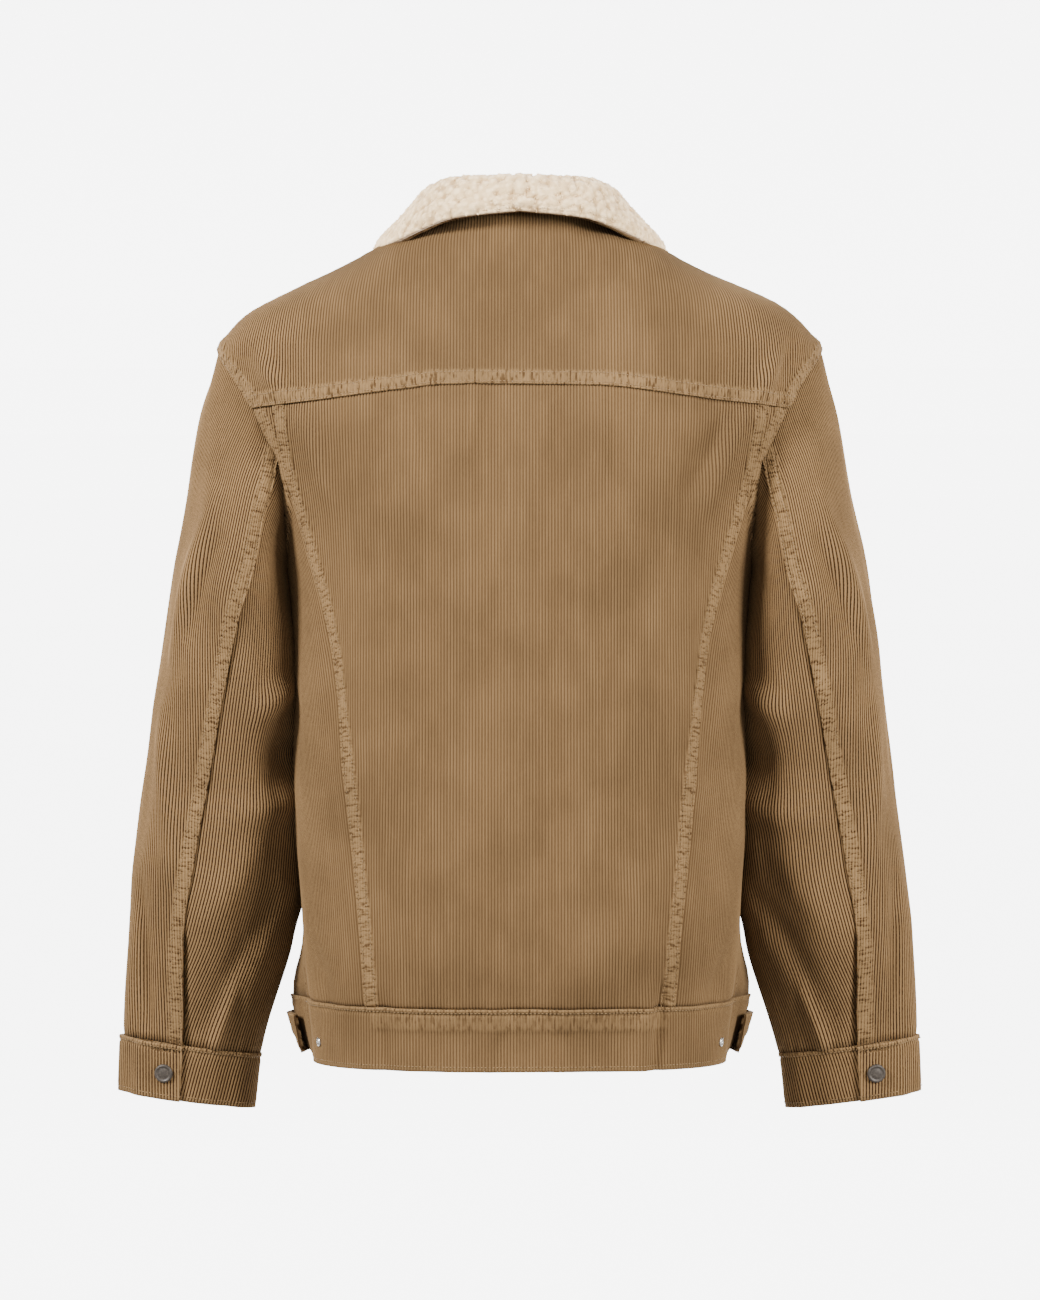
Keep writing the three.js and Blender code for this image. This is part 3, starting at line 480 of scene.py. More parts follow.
def collar(q, along):
    """Collar between its layers: from the neck seam over the fold to the outer edge."""
    q, along = np.broadcast_arrays(np.asarray(q, float), np.asarray(along, float))
    a = np.abs(q)
    turn = collar_cols[0](a)
    seam = body(turn, neck_level(turn))
    seam[..., 2] += 0.6
    fold = np.stack([f(a) for f in collar_cols[1:4]], -1)
    edge = np.stack([f(a) for f in collar_cols[4:7]], -1)
    out = edge - fold
    out[..., 2] = 0
    out = unit(out)
    up = np.array([0, 0, 1.0])
    inner = fold - 4.5 * out - 4.5 * up
    outer = fold + 4.5 * out - 4.05 * up
    pts = [seam, (seam + inner) / 2, inner, fold, outer, (outer + edge) / 2, edge]
    pts = [2 * pts[0] - pts[1], *pts, 2 * pts[-1] - pts[-2]]
    pts = np.stack(pts, 0)
    place = np.clip(along, 0, 1) * 6
    i = np.clip(np.floor(place).astype(int), 0, 5)
    t = (place - i)[..., None]
    take = lambda k: np.take_along_axis(pts, (i + k)[None, ..., None], 0)[0]
    p0, p1, p2, p3 = (take(k) for k in range(4))
    gap = lambda u, v: np.maximum(np.sum((u - v) ** 2, -1, keepdims=True) ** 0.25, 1e-4)
    d0, d1, d2 = gap(p0, p1), gap(p1, p2), gap(p2, p3)
    t1 = ((p1 - p0) / d0 - (p2 - p0) / (d0 + d1) + (p2 - p1) / d1) * d1
    t2 = ((p2 - p1) / d1 - (p3 - p1) / (d1 + d2) + (p3 - p2) / d2) * d1
    p = (
        (2 * t**3 - 3 * t**2 + 1) * p1
        + (t**3 - 2 * t**2 + t) * t1
        + (3 * t**2 - 2 * t**3) * p2
        + (t**3 - t**2) * t2
    )
    p[..., 0] *= np.where(q < 0, -1, 1)
    return p


def collar_normal(q, along):
    return normal_of(collar, np.clip(q, -0.99, 0.99), np.clip(along, 0.01, 0.99), 0.004, 0.006)


COLLAR_SIDE = 1.0 if collar_normal(np.array([0.0]), np.array([0.5]))[0, 2] > 0 else -1.0


def noise(x, y, seed):
    """Smooth value noise, about -1 to 1."""
    x, y = np.asarray(x, float), np.asarray(y, float)
    i, j = np.floor(x).astype(np.int64), np.floor(y).astype(np.int64)
    fx, fy = ease(x - i), ease(y - j)

    def cell(a, b):
        h = (a * 374761393 + b * 668265263 + seed * 982451653) & 0x7FFFFFFF
        h = ((h ^ (h >> 13)) * 1274126177) & 0x7FFFFFFF
        return ((h ^ (h >> 16)) & 0xFFFF) / 32767.5 - 1

    low = cell(i, j) * (1 - fx) + cell(i + 1, j) * fx
    high = cell(i, j + 1) * (1 - fx) + cell(i + 1, j + 1) * fx
    return low * (1 - fy) + high * fy


def segment_bump(x, y, ax, ay, bx, by, wide):
    """Soft ridge along a segment."""
    dx, dy = bx - ax, by - ay
    size = dx * dx + dy * dy
    t = ((x - ax) * dx + (y - ay) * dy) / size
    k = np.clip(t, 0, 1)
    d = np.hypot(x - ax - k * dx, y - ay - k * dy) / wide
    taper = 1 - 0.6 * np.abs(2 * k - 1) ** 2
    return np.exp(-d * d) * taper


def body_fold(p):
    """Height of the body's soft folds at points in millimetres."""
    x, y, z = p[..., 0], p[..., 1], p[..., 2]
    back = ease(y / 30)
    high = 1.5 * noise(x / 46 + 3, z / 95, 3) + 0.8 * noise(x / 17, z / 62 + 7, 5)
    high = high + np.where(y < 0, 0.8, 0) * noise(x / 40 + 9, z / 110 + 2, 11)
    for ax, az, bx, bz, wide, up in BODY_FOLDS:
        high = high + BODY_FOLD_DEPTH * back * up * segment_bump(x, z, ax, az, bx, bz, wide)
    under_collar = np.exp(-(((np.abs(x) - 86) / 32) ** 2) - ((z + 10) / 24) ** 2)
    high = high + 5 * back * under_collar
    beside = ease((np.abs(x) - 135) / 30) * np.exp(-((y / 44) ** 2))
    return high + 5.5 * beside * ease((-225 - z) / 45) * (1 - ease((-450 - z) / 110))


def sleeve_fold(round_, w, side):
    across, down = np.asarray(round_) * SLEEVE_DEGREE, np.asarray(w) * SLEEVE_RUN
    high = 1.8 * noise(across / 34 + 5 * side, down / 85, 17)
    high = high + 0.9 * noise(across / 14, down / 48, 19 + side)
    keep = ease(w / 0.06)
    shift = 4 * side
    for a, wa, b, wb, wide, up in SLEEVE_FOLDS:
        start = a * SLEEVE_DEGREE + shift, wa * SLEEVE_RUN
        end = b * SLEEVE_DEGREE, wb * SLEEVE_RUN + shift
        high = high + SLEEVE_FOLD_DEPTH * up * segment_bump(across, down, *start, *end, 1.2 * wide)
    inner = np.exp(-(((180 - np.abs(round_)) / 42) ** 2)) * (1 - ease((w - 0.55) / 0.25))
    return (high + 7.5 * inner) * keep


# Meshes


def write_mesh(name, verts, faces, materials, uv=None, band=None, slots=None):
    """Smooth triangle mesh from points in millimetres, linked to the scene as one object."""
    mesh = bpy.data.meshes.new(name)
    mesh.vertices.add(len(verts))
    mesh.vertices.foreach_set("co", (np.asarray(verts) * MM).astype(np.float32).ravel())
    mesh.loops.add(len(faces) * 3)
    mesh.loops.foreach_set("vertex_index", np.asarray(faces).astype(np.int32).ravel())
    mesh.polygons.add(len(faces))
    mesh.polygons.foreach_set("loop_start", np.arange(0, len(faces) * 3, 3, dtype=np.int32))
    if slots is not None:
        mesh.polygons.foreach_set("material_index", slots.astype(np.int32))
    mesh.update(calc_edges=True)
    if uv is not None:
        layer = mesh.uv_layers.new(name="cloth")
        layer.data.foreach_set("uv", uv[faces.ravel()].astype(np.float32).ravel())
    if band is not None:
        mark = mesh.attributes.new("band", "FLOAT_VECTOR", "POINT")
        mark.data.foreach_set("vector", band.astype(np.float32).ravel())
    mesh.polygons.foreach_set("use_smooth", np.ones(len(faces), bool))
    for finish in materials:
        mesh.materials.append(finish)
    if mesh.validate():
        raise RuntimeError(name + " has faces that don't hold together")
    obj = bpy.data.objects.new(name, mesh)
    bpy.context.scene.collection.objects.link(obj)
    return obj


def marked(value, run, off):
    """Seam mark of each point, with its run along the seam and its distance from it."""
    return np.stack([value, run, off], -1)


def grid_faces(rows, cols):
    j, i = np.meshgrid(np.arange(rows - 1), np.arange(cols - 1), indexing="ij")
    a = (j * cols + i).ravel()
    return np.concatenate(
        [np.stack([a, a + 1, a + cols + 1], -1), np.stack([a, a + cols + 1, a + cols], -1)]
    )


def cleaned(flat, faces):
    """Points that stay once those in one place are merged, and the faces between them."""
    key = np.round(flat / 0.03).astype(np.int64)
    _, first, inverse = np.unique(key, axis=0, return_index=True, return_inverse=True)
    faces = first[inverse.ravel()][faces]
    a, b, c = faces.T
    faces = faces[(a != b) & (b != c) & (c != a)]
    _, unique = np.unique(np.sort(faces, axis=1), axis=0, return_index=True)
    faces = faces[np.sort(unique)]
    used = np.unique(faces)
    back = np.full(len(flat), -1)
    back[used] = np.arange(len(used))
    return used, back[faces]


def rim_edges(faces):
    """Edges that only one face uses, in that face's direction."""
    e = np.concatenate([faces[:, [0, 1]], faces[:, [1, 2]], faces[:, [2, 0]]])
    _, inverse, count = np.unique(np.sort(e, axis=1), axis=0, return_inverse=True, return_counts=True)
    return e[count[inverse.ravel()] == 1]


def loop_of(edges):
    """Longest closed run of rim edges, in their own direction."""
    follow = {}
    for a, b in edges.tolist():
        follow.setdefault(a, []).append(b)
    best = []
    while follow:
        start = next(iter(follow))
        loop, at = [], start
        while at in follow:
            loop.append(at)
            after = follow[at]
            step = after.pop()
            if not after:
                del follow[at]
            at = step
        if len(loop) > len(best):
            best = loop
    return best


def zipped(points, first, second):
    """Faces that close the narrow gap between two loops that run the same way."""
    gap = np.linalg.norm(points[second] - points[first[0]], axis=1)
    k = int(np.argmin(gap))
    a = first + first[:1]
    b = second[k:] + second[: k + 1]
    pa, pb = points[a], points[b]
    faces, i, j = [], 0, 0
    while i < len(a) - 1 or j < len(b) - 1:
        ahead = np.sum((pa[i + 1] - pb[j]) ** 2) if i < len(a) - 1 else 1e18
        beside = np.sum((pa[i] - pb[j + 1]) ** 2) if j < len(b) - 1 else 1e18
        if ahead <= beside:
            faces.append((a[i + 1], a[i], b[j]))
            i += 1
        else:
            faces.append((a[i], b[j], b[j + 1]))
            j += 1
    return np.array(faces)


def face_normals(points, faces):
    tri = points[faces]
    return np.cross(tri[:, 1] - tri[:, 0], tri[:, 2] - tri[:, 0])


class Layout:
    """Places on a surface in even columns along each row, a few to each rib of the cloth.

    A row lies at one value of b, and its columns at even distances from the reference line.
    """

    def __init__(self, surface, rows, span, reference, limits, bottom, top, per=4):
        self.surface, self.rows, self.span, self.reference = surface, rows, span, reference
        self.limits, self.bottom, self.top, self.per = limits, bottom, top, per

    def places(self, fine):
        pitch = bpy.context.scene.jacket_settings.rib_pitch / MM
        per = self.per if fine else 1
        step = pitch / per if fine else 4 * pitch
        rows = self.rows if fine else np.unique(np.append(self.rows[::3], self.rows[-1]))
        line = np.linspace(self.span[0], self.span[1], 1200)
        runs = []
        for b in rows:
            p = self.surface(line, np.full_like(line, b))
            gaps = np.linalg.norm(np.diff(p, axis=0), axis=1)
            run = np.concatenate([[0], np.cumsum(gaps)])
            runs.append(run - np.interp(self.reference(b), line, run))
        ends = [self.limits(b) for b in rows]
        low = min(np.interp(e[0], line, r) for e, r in zip(ends, runs))
        high = max(np.interp(e[1], line, r) for e, r in zip(ends, runs))
        k = np.arange(math.floor(low / step), math.ceil(high / step) + 1)
        a = np.array([np.interp(k * step, r, line) for r in runs])
        b = np.repeat(rows[:, None], len(k), 1)
        a = np.clip(a, *self.limits(b))
        for j in range(len(rows) - 2, -1, -1):
            a[j] = np.where(rows[j] < self.bottom(a[j]), a[j + 1], a[j])
        for j in range(1, len(rows)):
            a[j] = np.where(rows[j] > self.top(a[j]), a[j - 1], a[j])
        for _ in range(3):
            b = np.clip(b, self.bottom(a), self.top(a))
            a = np.clip(a, *self.limits(b))
        b = np.clip(b, self.bottom(a), self.top(a))
        rib = RIB_SHAPE[(k % per) * (4 // per)] if fine else k * 0.0
        u = np.repeat((k * step)[None, :], len(rows), 0)
        ribs = np.repeat(rib[None, :], len(rows), 0)
        return [a, b, u, ribs]


def cloth_panel(name, layout, normal, height, wall, materials, v_scale=1.0, mirror=False):
    """Shell with a ribbed outer face, walls round its edges and a plainer inner face.

    height(a, b, p) gives the lift of the whole wall, the relief on it and the seam mark.
    """
    cfg = bpy.context.scene.jacket_settings
    layers = []
    for fine in (True, False):
        a, b, u, rib = (g for g in layout.places(fine))
        shape = a.shape
        a, b, u, rib = (g.ravel() for g in (a, b, u, rib))
        base = layout.surface(a, b)
        used, faces = cleaned(base, grid_faces(*shape))
        a, b, u, rib, base = a[used], b[used], u[used], rib[used], base[used]
        n = normal(a, b)
        if np.einsum("ij,ij->", unit(face_normals(base, faces)), n[faces[:, 0]]) < 0:
            faces = faces[:, ::-1]
        lift, relief, mark = height(a, b, base)
        uv = np.stack([u, b * v_scale], -1)
        under = base + n * (lift + 0.8 * relief - 0.6 - wall)[:, None]
        layers.append((base, n, faces, uv, mark, lift + relief, rib, under))
    base, n, faces, uv, mark, up, rib, under = layers[0]
    ribs = cfg.rib_height / MM * rib * (1 - 0.55 * mark[:, 0])
    outer = base + n * (up + ribs)[:, None]
    edges = rim_edges(faces)
    rim = np.unique(edges)
    low = np.full(len(outer), -1)
    low[rim] = len(outer) + np.arange(len(rim))
    p, q = edges[:, 0], edges[:, 1]
    walls = np.concatenate([np.stack([q, p, low[p]], -1), np.stack([q, low[p], low[q]], -1)])
    start = len(outer) + len(rim)
    inner = layers[1]
    verts = np.concatenate([outer, under[rim], inner[7]])
    ring = low[np.array(loop_of(edges))].tolist()
    inside = (np.array(loop_of(rim_edges(inner[2]))) + start).tolist()
    closing = zipped(verts, ring, inside)
    every = np.concatenate([faces, walls, closing, inner[2][:, ::-1] + start])
    uvs = np.concatenate([uv, uv[rim], inner[3]])
    marks = np.concatenate([mark, np.maximum(mark[rim], (1, 0, 0)), inner[4]])
    outside = len(faces) + len(walls) + len(closing)
    slots = np.concatenate([np.zeros(outside), np.ones(len(inner[2]))])
    if mirror:
        verts = verts * np.array([-1, 1, 1])
        every = every[:, ::-1]
    obj = write_mesh(name, verts, every, materials, uvs, marks, slots)
    area = np.linalg.norm(face_normals(base, faces), axis=1).sum() / 2 * MM * MM
    wide = np.ptp(uv[:, 0]) * MM
    return obj, (wide, max(np.ptp(uv[:, 1]) * MM, area / wide)), area


class Seam:
    """A sewn line: points 1.5 mm apart and the surface's normals at them."""

    def __init__(self, surface, normal, a, b, mirror=False):
        points, normals = surface(a, b), normal(a, b)
        run = np.concatenate([[0], np.cumsum(np.linalg.norm(np.diff(points, axis=0), axis=1))])
        even = np.linspace(0, run[-1], int(run[-1] / 1.5) + 2)
        self.step = even[1]
        self.points = np.stack([np.interp(even, run, points[:, k]) for k in range(3)], -1)
        self.normals = unit(np.stack([np.interp(even, run, normals[:, k]) for k in range(3)], -1))
        if mirror:
            self.points = self.points * np.array([-1, 1, 1])
            self.normals = self.normals * np.array([-1, 1, 1])
        self.tree = KDTree(len(even))
        for k, point in enumerate(self.points):
            self.tree.insert(point, k)
        self.tree.balance()

    def near(self, p, reach):
        """Distance to the seam and the run along it, for the points within reach of it."""
        coarse = self.points[:: max(1, int(12 / self.step))]
        close = np.zeros(len(p), bool)
        for part in range(0, len(p), 20000):
            gap = p[part : part + 20000, None, :] - coarse[None]
            close[part : part + 20000] = (gap * gap).sum(-1).min(1) < (reach + 8) ** 2
        d, run = np.full(len(p), 1e3), np.zeros(len(p))
        for k in np.flatnonzero(close):
            _, index, dist = self.tree.find(p[k])
            d[k], run[k] = dist, index * self.step
        return d, run

    def beside(self, shift):
        """The line moved sideways along the cloth, and its normals."""
        along = unit(np.gradient(self.points, axis=0))
        return self.points + unit(np.cross(self.normals, along)) * shift, self.normals


def sewn(p, rules):
    """Relief and seam mark from (seam, kind, width, wave, seed) rules."""
    cfg = bpy.context.scene.jacket_settings
    rise = cfg.fell_rise / MM
    high, mark, along, off = (np.zeros(len(p)) for _ in range(4))
    off += 24
    for seam, kind, width, wave, seed in rules:
        d, run = seam.near(p, 24)
        ripple = 1.0 * noise(run / wave, run * 0 + 0.3, seed)
        ripple = ripple + 0.6 * noise(run / (2.3 * wave), run * 0 + 0.7, seed + 1)
        if kind == "over":
            on = ease((width + 0.9 - d) / 1.8)
            rows = np.exp(-(((d - 1.8) / 0.9) ** 2)) + np.exp(-(((d - width + 1.9) / 0.9) ** 2))
            lip = np.exp(-((d / 1.7) ** 2))
            high += on * (rise + ripple * ease(d / 3)) + 0.5 * lip - 0.8 * rows * on
            high += 0.3 * ripple * np.exp(-np.maximum(d - width, 0) / 5) * (1 - on)
            mark = np.maximum(mark, on)
            along, off = np.where(d < off, run, along), np.minimum(d, off)
        else:
            high += -0.9 * np.exp(-((d / 2.4) ** 2)) + 0.5 * ripple * np.exp(-d / 8)
    return high, marked(mark, along, off)


def seam_lines():
    """The jacket's sewn lines on the left side, and those that cross the centre."""
    low = level_at(BAND_Z)
    levels = np.linspace(low, level_at(-137), 300)
    turns = np.linspace(0, 180, 500)
    rounds = np.linspace(-180, 180, 500)
    around = np.linspace(-180, 180, 700)
    w = np.linspace(0, CUFF_W, 300)
    lines = {}
    for side, mirror in SIDES:
        lines["back_" + side] = Seam(body, body_normal, seam_turn(levels), levels, mirror)
        lines["arm_" + side] = Seam(body, body_normal, *armhole(rounds), mirror)
    lines["yoke"] = Seam(body, body_normal, turns, yoke_level(turns))
    lines["band"] = Seam(body, body_normal, around, np.full_like(around, low))
    lines["hem"] = Seam(body, body_normal, around, np.full_like(around, 0.5))
    lines["sleeve_back"] = Seam(sleeve, sleeve_normal, sleeve_seam(w), w)
    lines["sleeve_inner"] = Seam(sleeve, sleeve_normal, w * 0 + 180, w)
    lines["cuff"] = Seam(sleeve, sleeve_normal, around, np.full_like(around, CUFF_W))
    lines["cuff_end"] = Seam(sleeve, sleeve_normal, around, np.full_like(around, 0.997))
    return lines


# Materials


class Shader:
    """Small helper that adds nodes to a new material and links their inputs."""

    def __init__(self, name):
        self.material = bpy.data.materials.new(name)
        self.material.use_nodes = True
        self.tree = self.material.node_tree
        self.tree.nodes.clear()

    def add(self, kind, inputs=None, **props):
        node = self.tree.nodes.new(kind)
        for key, value in props.items():
            setattr(node, key, value)
        for key, value in (inputs or {}).items():
            if isinstance(value, bpy.types.NodeSocket):
                self.tree.links.new(value, node.inputs[key])
            else:
                node.inputs[key].default_value = value
        return node

    def math(self, operation, a, b=0.0, clamp=False):
        return self.add("ShaderNodeMath", {0: a, 1: b}, operation=operation, use_clamp=clamp).outputs[0]

    def mix(self, share, a, b, blend="MIX"):
        node = self.add("ShaderNodeMix", {0: share, 6: a, 7: b}, data_type="RGBA", blend_type=blend)
        return node.outputs[2]

    def noise(self, vector, scale, detail=2.0):
        inputs = {"Vector": vector, "Scale": scale, "Detail": detail}
        return self.add("ShaderNodeTexNoise", inputs).outputs["Fac"]

    def spread(self, value, low, high, to_low=0.0, to_high=1.0):
        inputs = {0: value, 1: low, 2: high, 3: to_low, 4: to_high}
        return self.add("ShaderNodeMapRange", inputs, interpolation_type="SMOOTHSTEP").outputs[0]

    def scaled(self, vector, scale):
        inputs = {0: vector, 1: scale}
        return self.add("ShaderNodeVectorMath", inputs, operation="MULTIPLY").outputs[0]

    def finish(self, shader):
        out = self.add("ShaderNodeOutputMaterial")
        self.tree.links.new(shader.outputs[0], out.inputs["Surface"])
        return self.material


def rgba(colour):
    return (*colour, 1.0)


def corduroy_material():
    cfg = bpy.context.scene.jacket_settings
    s = Shader("finish_corduroy")
    uv = s.add("ShaderNodeUVMap", uv_map="cloth").outputs[0]
    place = s.add("ShaderNodeTexCoord").outputs["Object"]
    sewing = s.add("ShaderNodeAttribute", attribute_name="band").outputs["Vector"]
    band = s.add("ShaderNodeSeparateXYZ", {0: sewing}).outputs[0]
    sideways = s.math("ABSOLUTE", s.add("ShaderNodeSeparateXYZ", {0: place}).outputs[0])
    across = s.add("ShaderNodeSeparateXYZ", {0: uv}).outputs[0]
    wave = s.math("COSINE", s.math("MULTIPLY", across, 2 * math.pi * MM / cfg.rib_pitch))
    rib = s.math("MULTIPLY_ADD", wave, -0.5)
    rib.node.inputs[2].default_value = 0.5
    fuzz = s.noise(s.scaled(uv, (1.3, 0.5, 1.0)), 1.0, 3.0)
    streak = s.noise(s.scaled(uv, (0.16, 0.018, 1.0)), 1.0, 3.0)
    cloud = s.noise(place, 16.0, 4.0)
    # The ribs' crests take the cloth colour, and the space between them takes the painted shade of the
    # groove colour.
    shade = s.math("ADD", rib, s.math("MULTIPLY", s.math("SUBTRACT", fuzz, 0.5), 0.7))
    on_rib = s.spread(shade, 0.06, 0.62)
    soft = tuple(0.62 * g + 0.38 * c for g, c in zip(cfg.groove, cfg.cloth))
    # Painted highlight and painted shade: far from the centre, on the sleeves, the crests are painted
    # brighter and the grooves darker than on the body.
    sleeve_light_share = s.spread(sideways, 0.13, 0.2)
    painted_shade_colour = s.mix(sleeve_light_share, rgba(soft), rgba(tuple(0.6 * g for g in cfg.groove)))
    dull, bright = (tuple(share * c for c in cfg.cloth) for share in (0.8, 1.12))
    crest = s.mix(sleeve_light_share, rgba(dull), rgba(bright))
    colour = s.mix(on_rib, painted_shade_colour, crest)
    pale = s.math("MULTIPLY", s.spread(streak, 0.38, 0.72), s.spread(rib, 0.3, 0.95))
    colour = s.mix(s.math("MULTIPLY", pale, 0.3), colour, rgba(cfg.worn))
    # On seam bands the pucker crests are painted lighter with the worn colour: partly wear, partly
    # painted highlight.
    pucker = s.noise(s.scaled(sewing, (0.0, 0.46, 0.11)), 1.0, 2.0)
    worn = s.math("MULTIPLY", s.math("MULTIPLY", band, s.spread(pucker, 0.36, 0.56)), 0.6)
    colour = s.mix(worn, colour, rgba(cfg.worn))
    # Painted shade: the troughs of the seam bands' puckers are darkened toward the groove colour.
    pucker_shade_share = s.math("MULTIPLY", s.math("MULTIPLY", band, s.spread(pucker, 0.47, 0.33)), 0.5)
    colour = s.mix(pucker_shade_share, colour, rgba(cfg.groove))
    tone = s.spread(cloud, 0.3, 0.7, 0.86, 1.1)
    tint = s.add("ShaderNodeCombineColor", {0: tone, 1: tone, 2: tone}).outputs[0]
    colour = s.mix(1.0, colour, tint, "MULTIPLY")
    relief = s.math("MULTIPLY", s.math("MULTIPLY", pucker, band), 2.6)
    relief = s.math("ADD", relief, s.math("MULTIPLY", fuzz, 0.35))
    bump = s.add("ShaderNodeBump", {"Strength": 0.7, "Distance": 0.5 * MM, "Height": relief})
    inputs = {
        "Base Color": colour,
        "Roughness": 0.92,
        "Specular IOR Level": 0.04,
        "Sheen Weight": 0.05,
        "Sheen Roughness": 0.5,
        "Sheen Tint": (0.9, 0.66, 0.42, 1.0),
        "Normal": bump.outputs[0],
    }
    return s.finish(s.add("ShaderNodeBsdfPrincipled", inputs))


def pile_material(name, shade=1.0):
    cfg = bpy.context.scene.jacket_settings
    s = Shader(name)
    place = s.add("ShaderNodeTexCoord").outputs["Object"]
    clumps = s.add(
        "ShaderNodeTexVoronoi", {"Vector": place, "Scale": 260.0}, feature="SMOOTH_F1"
    ).outputs["Distance"]
    fine = s.noise(place, 900.0, 3.0)
    patch = s.noise(place, 30.0, 2.0)
    # Painted light and shade on the clumps: pale crowns that shade to the painted shade colour at their
    # edges.
    painted_shade_colour = tuple(c * f * shade for c, f in zip(cfg.pile, (0.8, 0.74, 0.66)))
    pale = tuple(min(1.0, c * 1.06 * shade) for c in cfg.pile)
    between = s.add("ShaderNodeAttribute", attribute_name="band").outputs["Vector"]
    gaps = s.add("ShaderNodeSeparateXYZ", {0: between}).outputs[0]
    colour = s.mix(s.spread(clumps, 0.15, 0.62), rgba(pale), rgba(painted_shade_colour))
    # Painted shade: the crevices between clumps, marked on the pile mesh, are darkened further.
    dark = tuple(c * f * shade for c, f in zip(cfg.pile, (0.5, 0.42, 0.33)))
    colour = s.mix(s.math("MULTIPLY", s.spread(gaps, 0.12, 0.5), 0.8), colour, rgba(dark))
    colour = s.mix(s.math("MULTIPLY", s.spread(patch, 0.35, 0.7), 0.3), colour, rgba(painted_shade_colour))
    relief = s.math("ADD", s.math("MULTIPLY", clumps, -0.8), s.math("MULTIPLY", fine, 0.6))
    bump = s.add("ShaderNodeBump", {"Strength": 0.8, "Distance": 0.9 * MM, "Height": relief})
    inputs = {
        "Base Color": colour,
        "Roughness": 0.95,
        "Specular IOR Level": 0.08,
        "Sheen Weight": 0.3,
        "Sheen Roughness": 0.6,
        "Normal": bump.outputs[0],
    }
    return s.finish(s.add("ShaderNodeBsdfPrincipled", inputs))


def thread_material():
    cfg = bpy.context.scene.jacket_settings
    s = Shader("finish_thread")
    place = s.add("ShaderNodeTexCoord").outputs["Object"]
    twist = s.noise(place, 1600.0, 2.0)
    dark = tuple(c * 0.6 for c in cfg.thread)
    colour = s.mix(s.spread(twist, 0.35, 0.65), rgba(dark), rgba(cfg.thread))
    inputs = {"Base Color": colour, "Roughness": 0.7, "Specular IOR Level": 0.3}
    return s.finish(s.add("ShaderNodeBsdfPrincipled", inputs))


def metal_material(name, colour, worn, rough, metallic):
    s = Shader(name)
    place = s.add("ShaderNodeTexCoord").outputs["Object"]
    grain = s.noise(place, 700.0, 3.0)
    tone = s.mix(s.spread(grain, 0.35, 0.75), rgba(colour), rgba(worn))
    rough_map = s.spread(grain, 0.2, 0.8, rough - 0.08, rough + 0.12)
    bump = s.add("ShaderNodeBump", {"Strength": 0.15, "Distance": 0.1 * MM, "Height": grain})
    inputs = {
        "Base Color": tone,
        "Roughness": rough_map,
        "Metallic": metallic,
        "Normal": bump.outputs[0],
    }
    return s.finish(s.add("ShaderNodeBsdfPrincipled", inputs))


def material(name):
    """Material by name, made when first asked for."""
    found = bpy.data.materials.get("finish_" + name)
    if found:
        return found
    cfg = bpy.context.scene.jacket_settings
    makers = {
        "corduroy": corduroy_material,
        "collar_pile": lambda: pile_material("finish_collar_pile"),
        "lining_pile": lambda: pile_material("finish_lining_pile", 0.9),
        "thread": thread_material,
        "dark_snap": lambda: metal_material(
            "finish_dark_snap", cfg.snap, tuple(c * 1.9 for c in cfg.snap), 0.5, 0.3
        ),
        "bright_stud": lambda: metal_material(
            "finish_bright_stud", (0.62, 0.6, 0.56), (0.75, 0.73, 0.7), 0.28, 1.0
        ),
    }
    return makers[name]()


# Geometry Nodes


def node_group(name, sockets):
    """Empty node group with the geometry and the (label, kind) sockets as its inputs."""
    tree = bpy.data.node_groups.new(name, "GeometryNodeTree")
    tree.interface.new_socket("Geometry", in_out="INPUT", socket_type="NodeSocketGeometry")
    for label, kind in sockets:
        tree.interface.new_socket(label, in_out="INPUT", socket_type=kind)
    tree.interface.new_socket("Geometry", in_out="OUTPUT", socket_type="NodeSocketGeometry")
    return tree


def geo(tree, kind, inputs=None, **props):
    node = tree.nodes.new(kind)
    for key, value in props.items():
        setattr(node, key, value)
    for key, value in (inputs or {}).items():
        if isinstance(value, bpy.types.NodeSocket):
            tree.links.new(value, node.inputs[key])
        else:
            node.inputs[key].default_value = value
    return node


def beads_on_points(tree, source, points, turn, size):
    """Ends a node group with a real, painted bead of unit size on every point."""
    bead = geo(tree, "GeometryNodeMeshIcoSphere", {"Radius": 0.5, "Subdivisions": 1})
    inputs = {
        "Points": points.outputs["Points"],
        "Instance": bead.outputs["Mesh"],
        "Rotation": turn.outputs[0],
        "Scale": size.outputs[0],
    }
    placed = geo(tree, "GeometryNodeInstanceOnPoints", inputs)
    real = geo(tree, "GeometryNodeRealizeInstances", {"Geometry": placed.outputs[0]})
    smooth = geo(tree, "GeometryNodeSetShadeSmooth", {"Geometry": real.outputs[0]})
    inputs = {"Geometry": smooth.outputs[0], "Material": source["Material"]}
    paint = geo(tree, "GeometryNodeSetMaterial", inputs)
    geo(tree, "NodeGroupOutput", {"Geometry": paint.outputs[0]})
    return tree


def applied(obj, name, tree, values):
    """Runs a node group on an object and leaves its result as a plain mesh object."""
    modifier = obj.modifiers.new(tree.name, "NODES")
    modifier.node_group = tree
    ids = {i.name: i.identifier for i in tree.interface.items_tree if i.in_out == "INPUT"}
    for label, value in values.items():
        modifier[ids[label]] = value
    graph = bpy.context.evaluated_depsgraph_get()
    graph.update()
    mesh = bpy.data.meshes.new_from_object(obj.evaluated_get(graph), depsgraph=graph)
    mesh.name = name
    source = obj.data
    bpy.data.objects.remove(obj)
    bpy.data.meshes.remove(source)
    done = bpy.data.objects.new(name, mesh)
    bpy.context.scene.collection.objects.link(done)
    return done


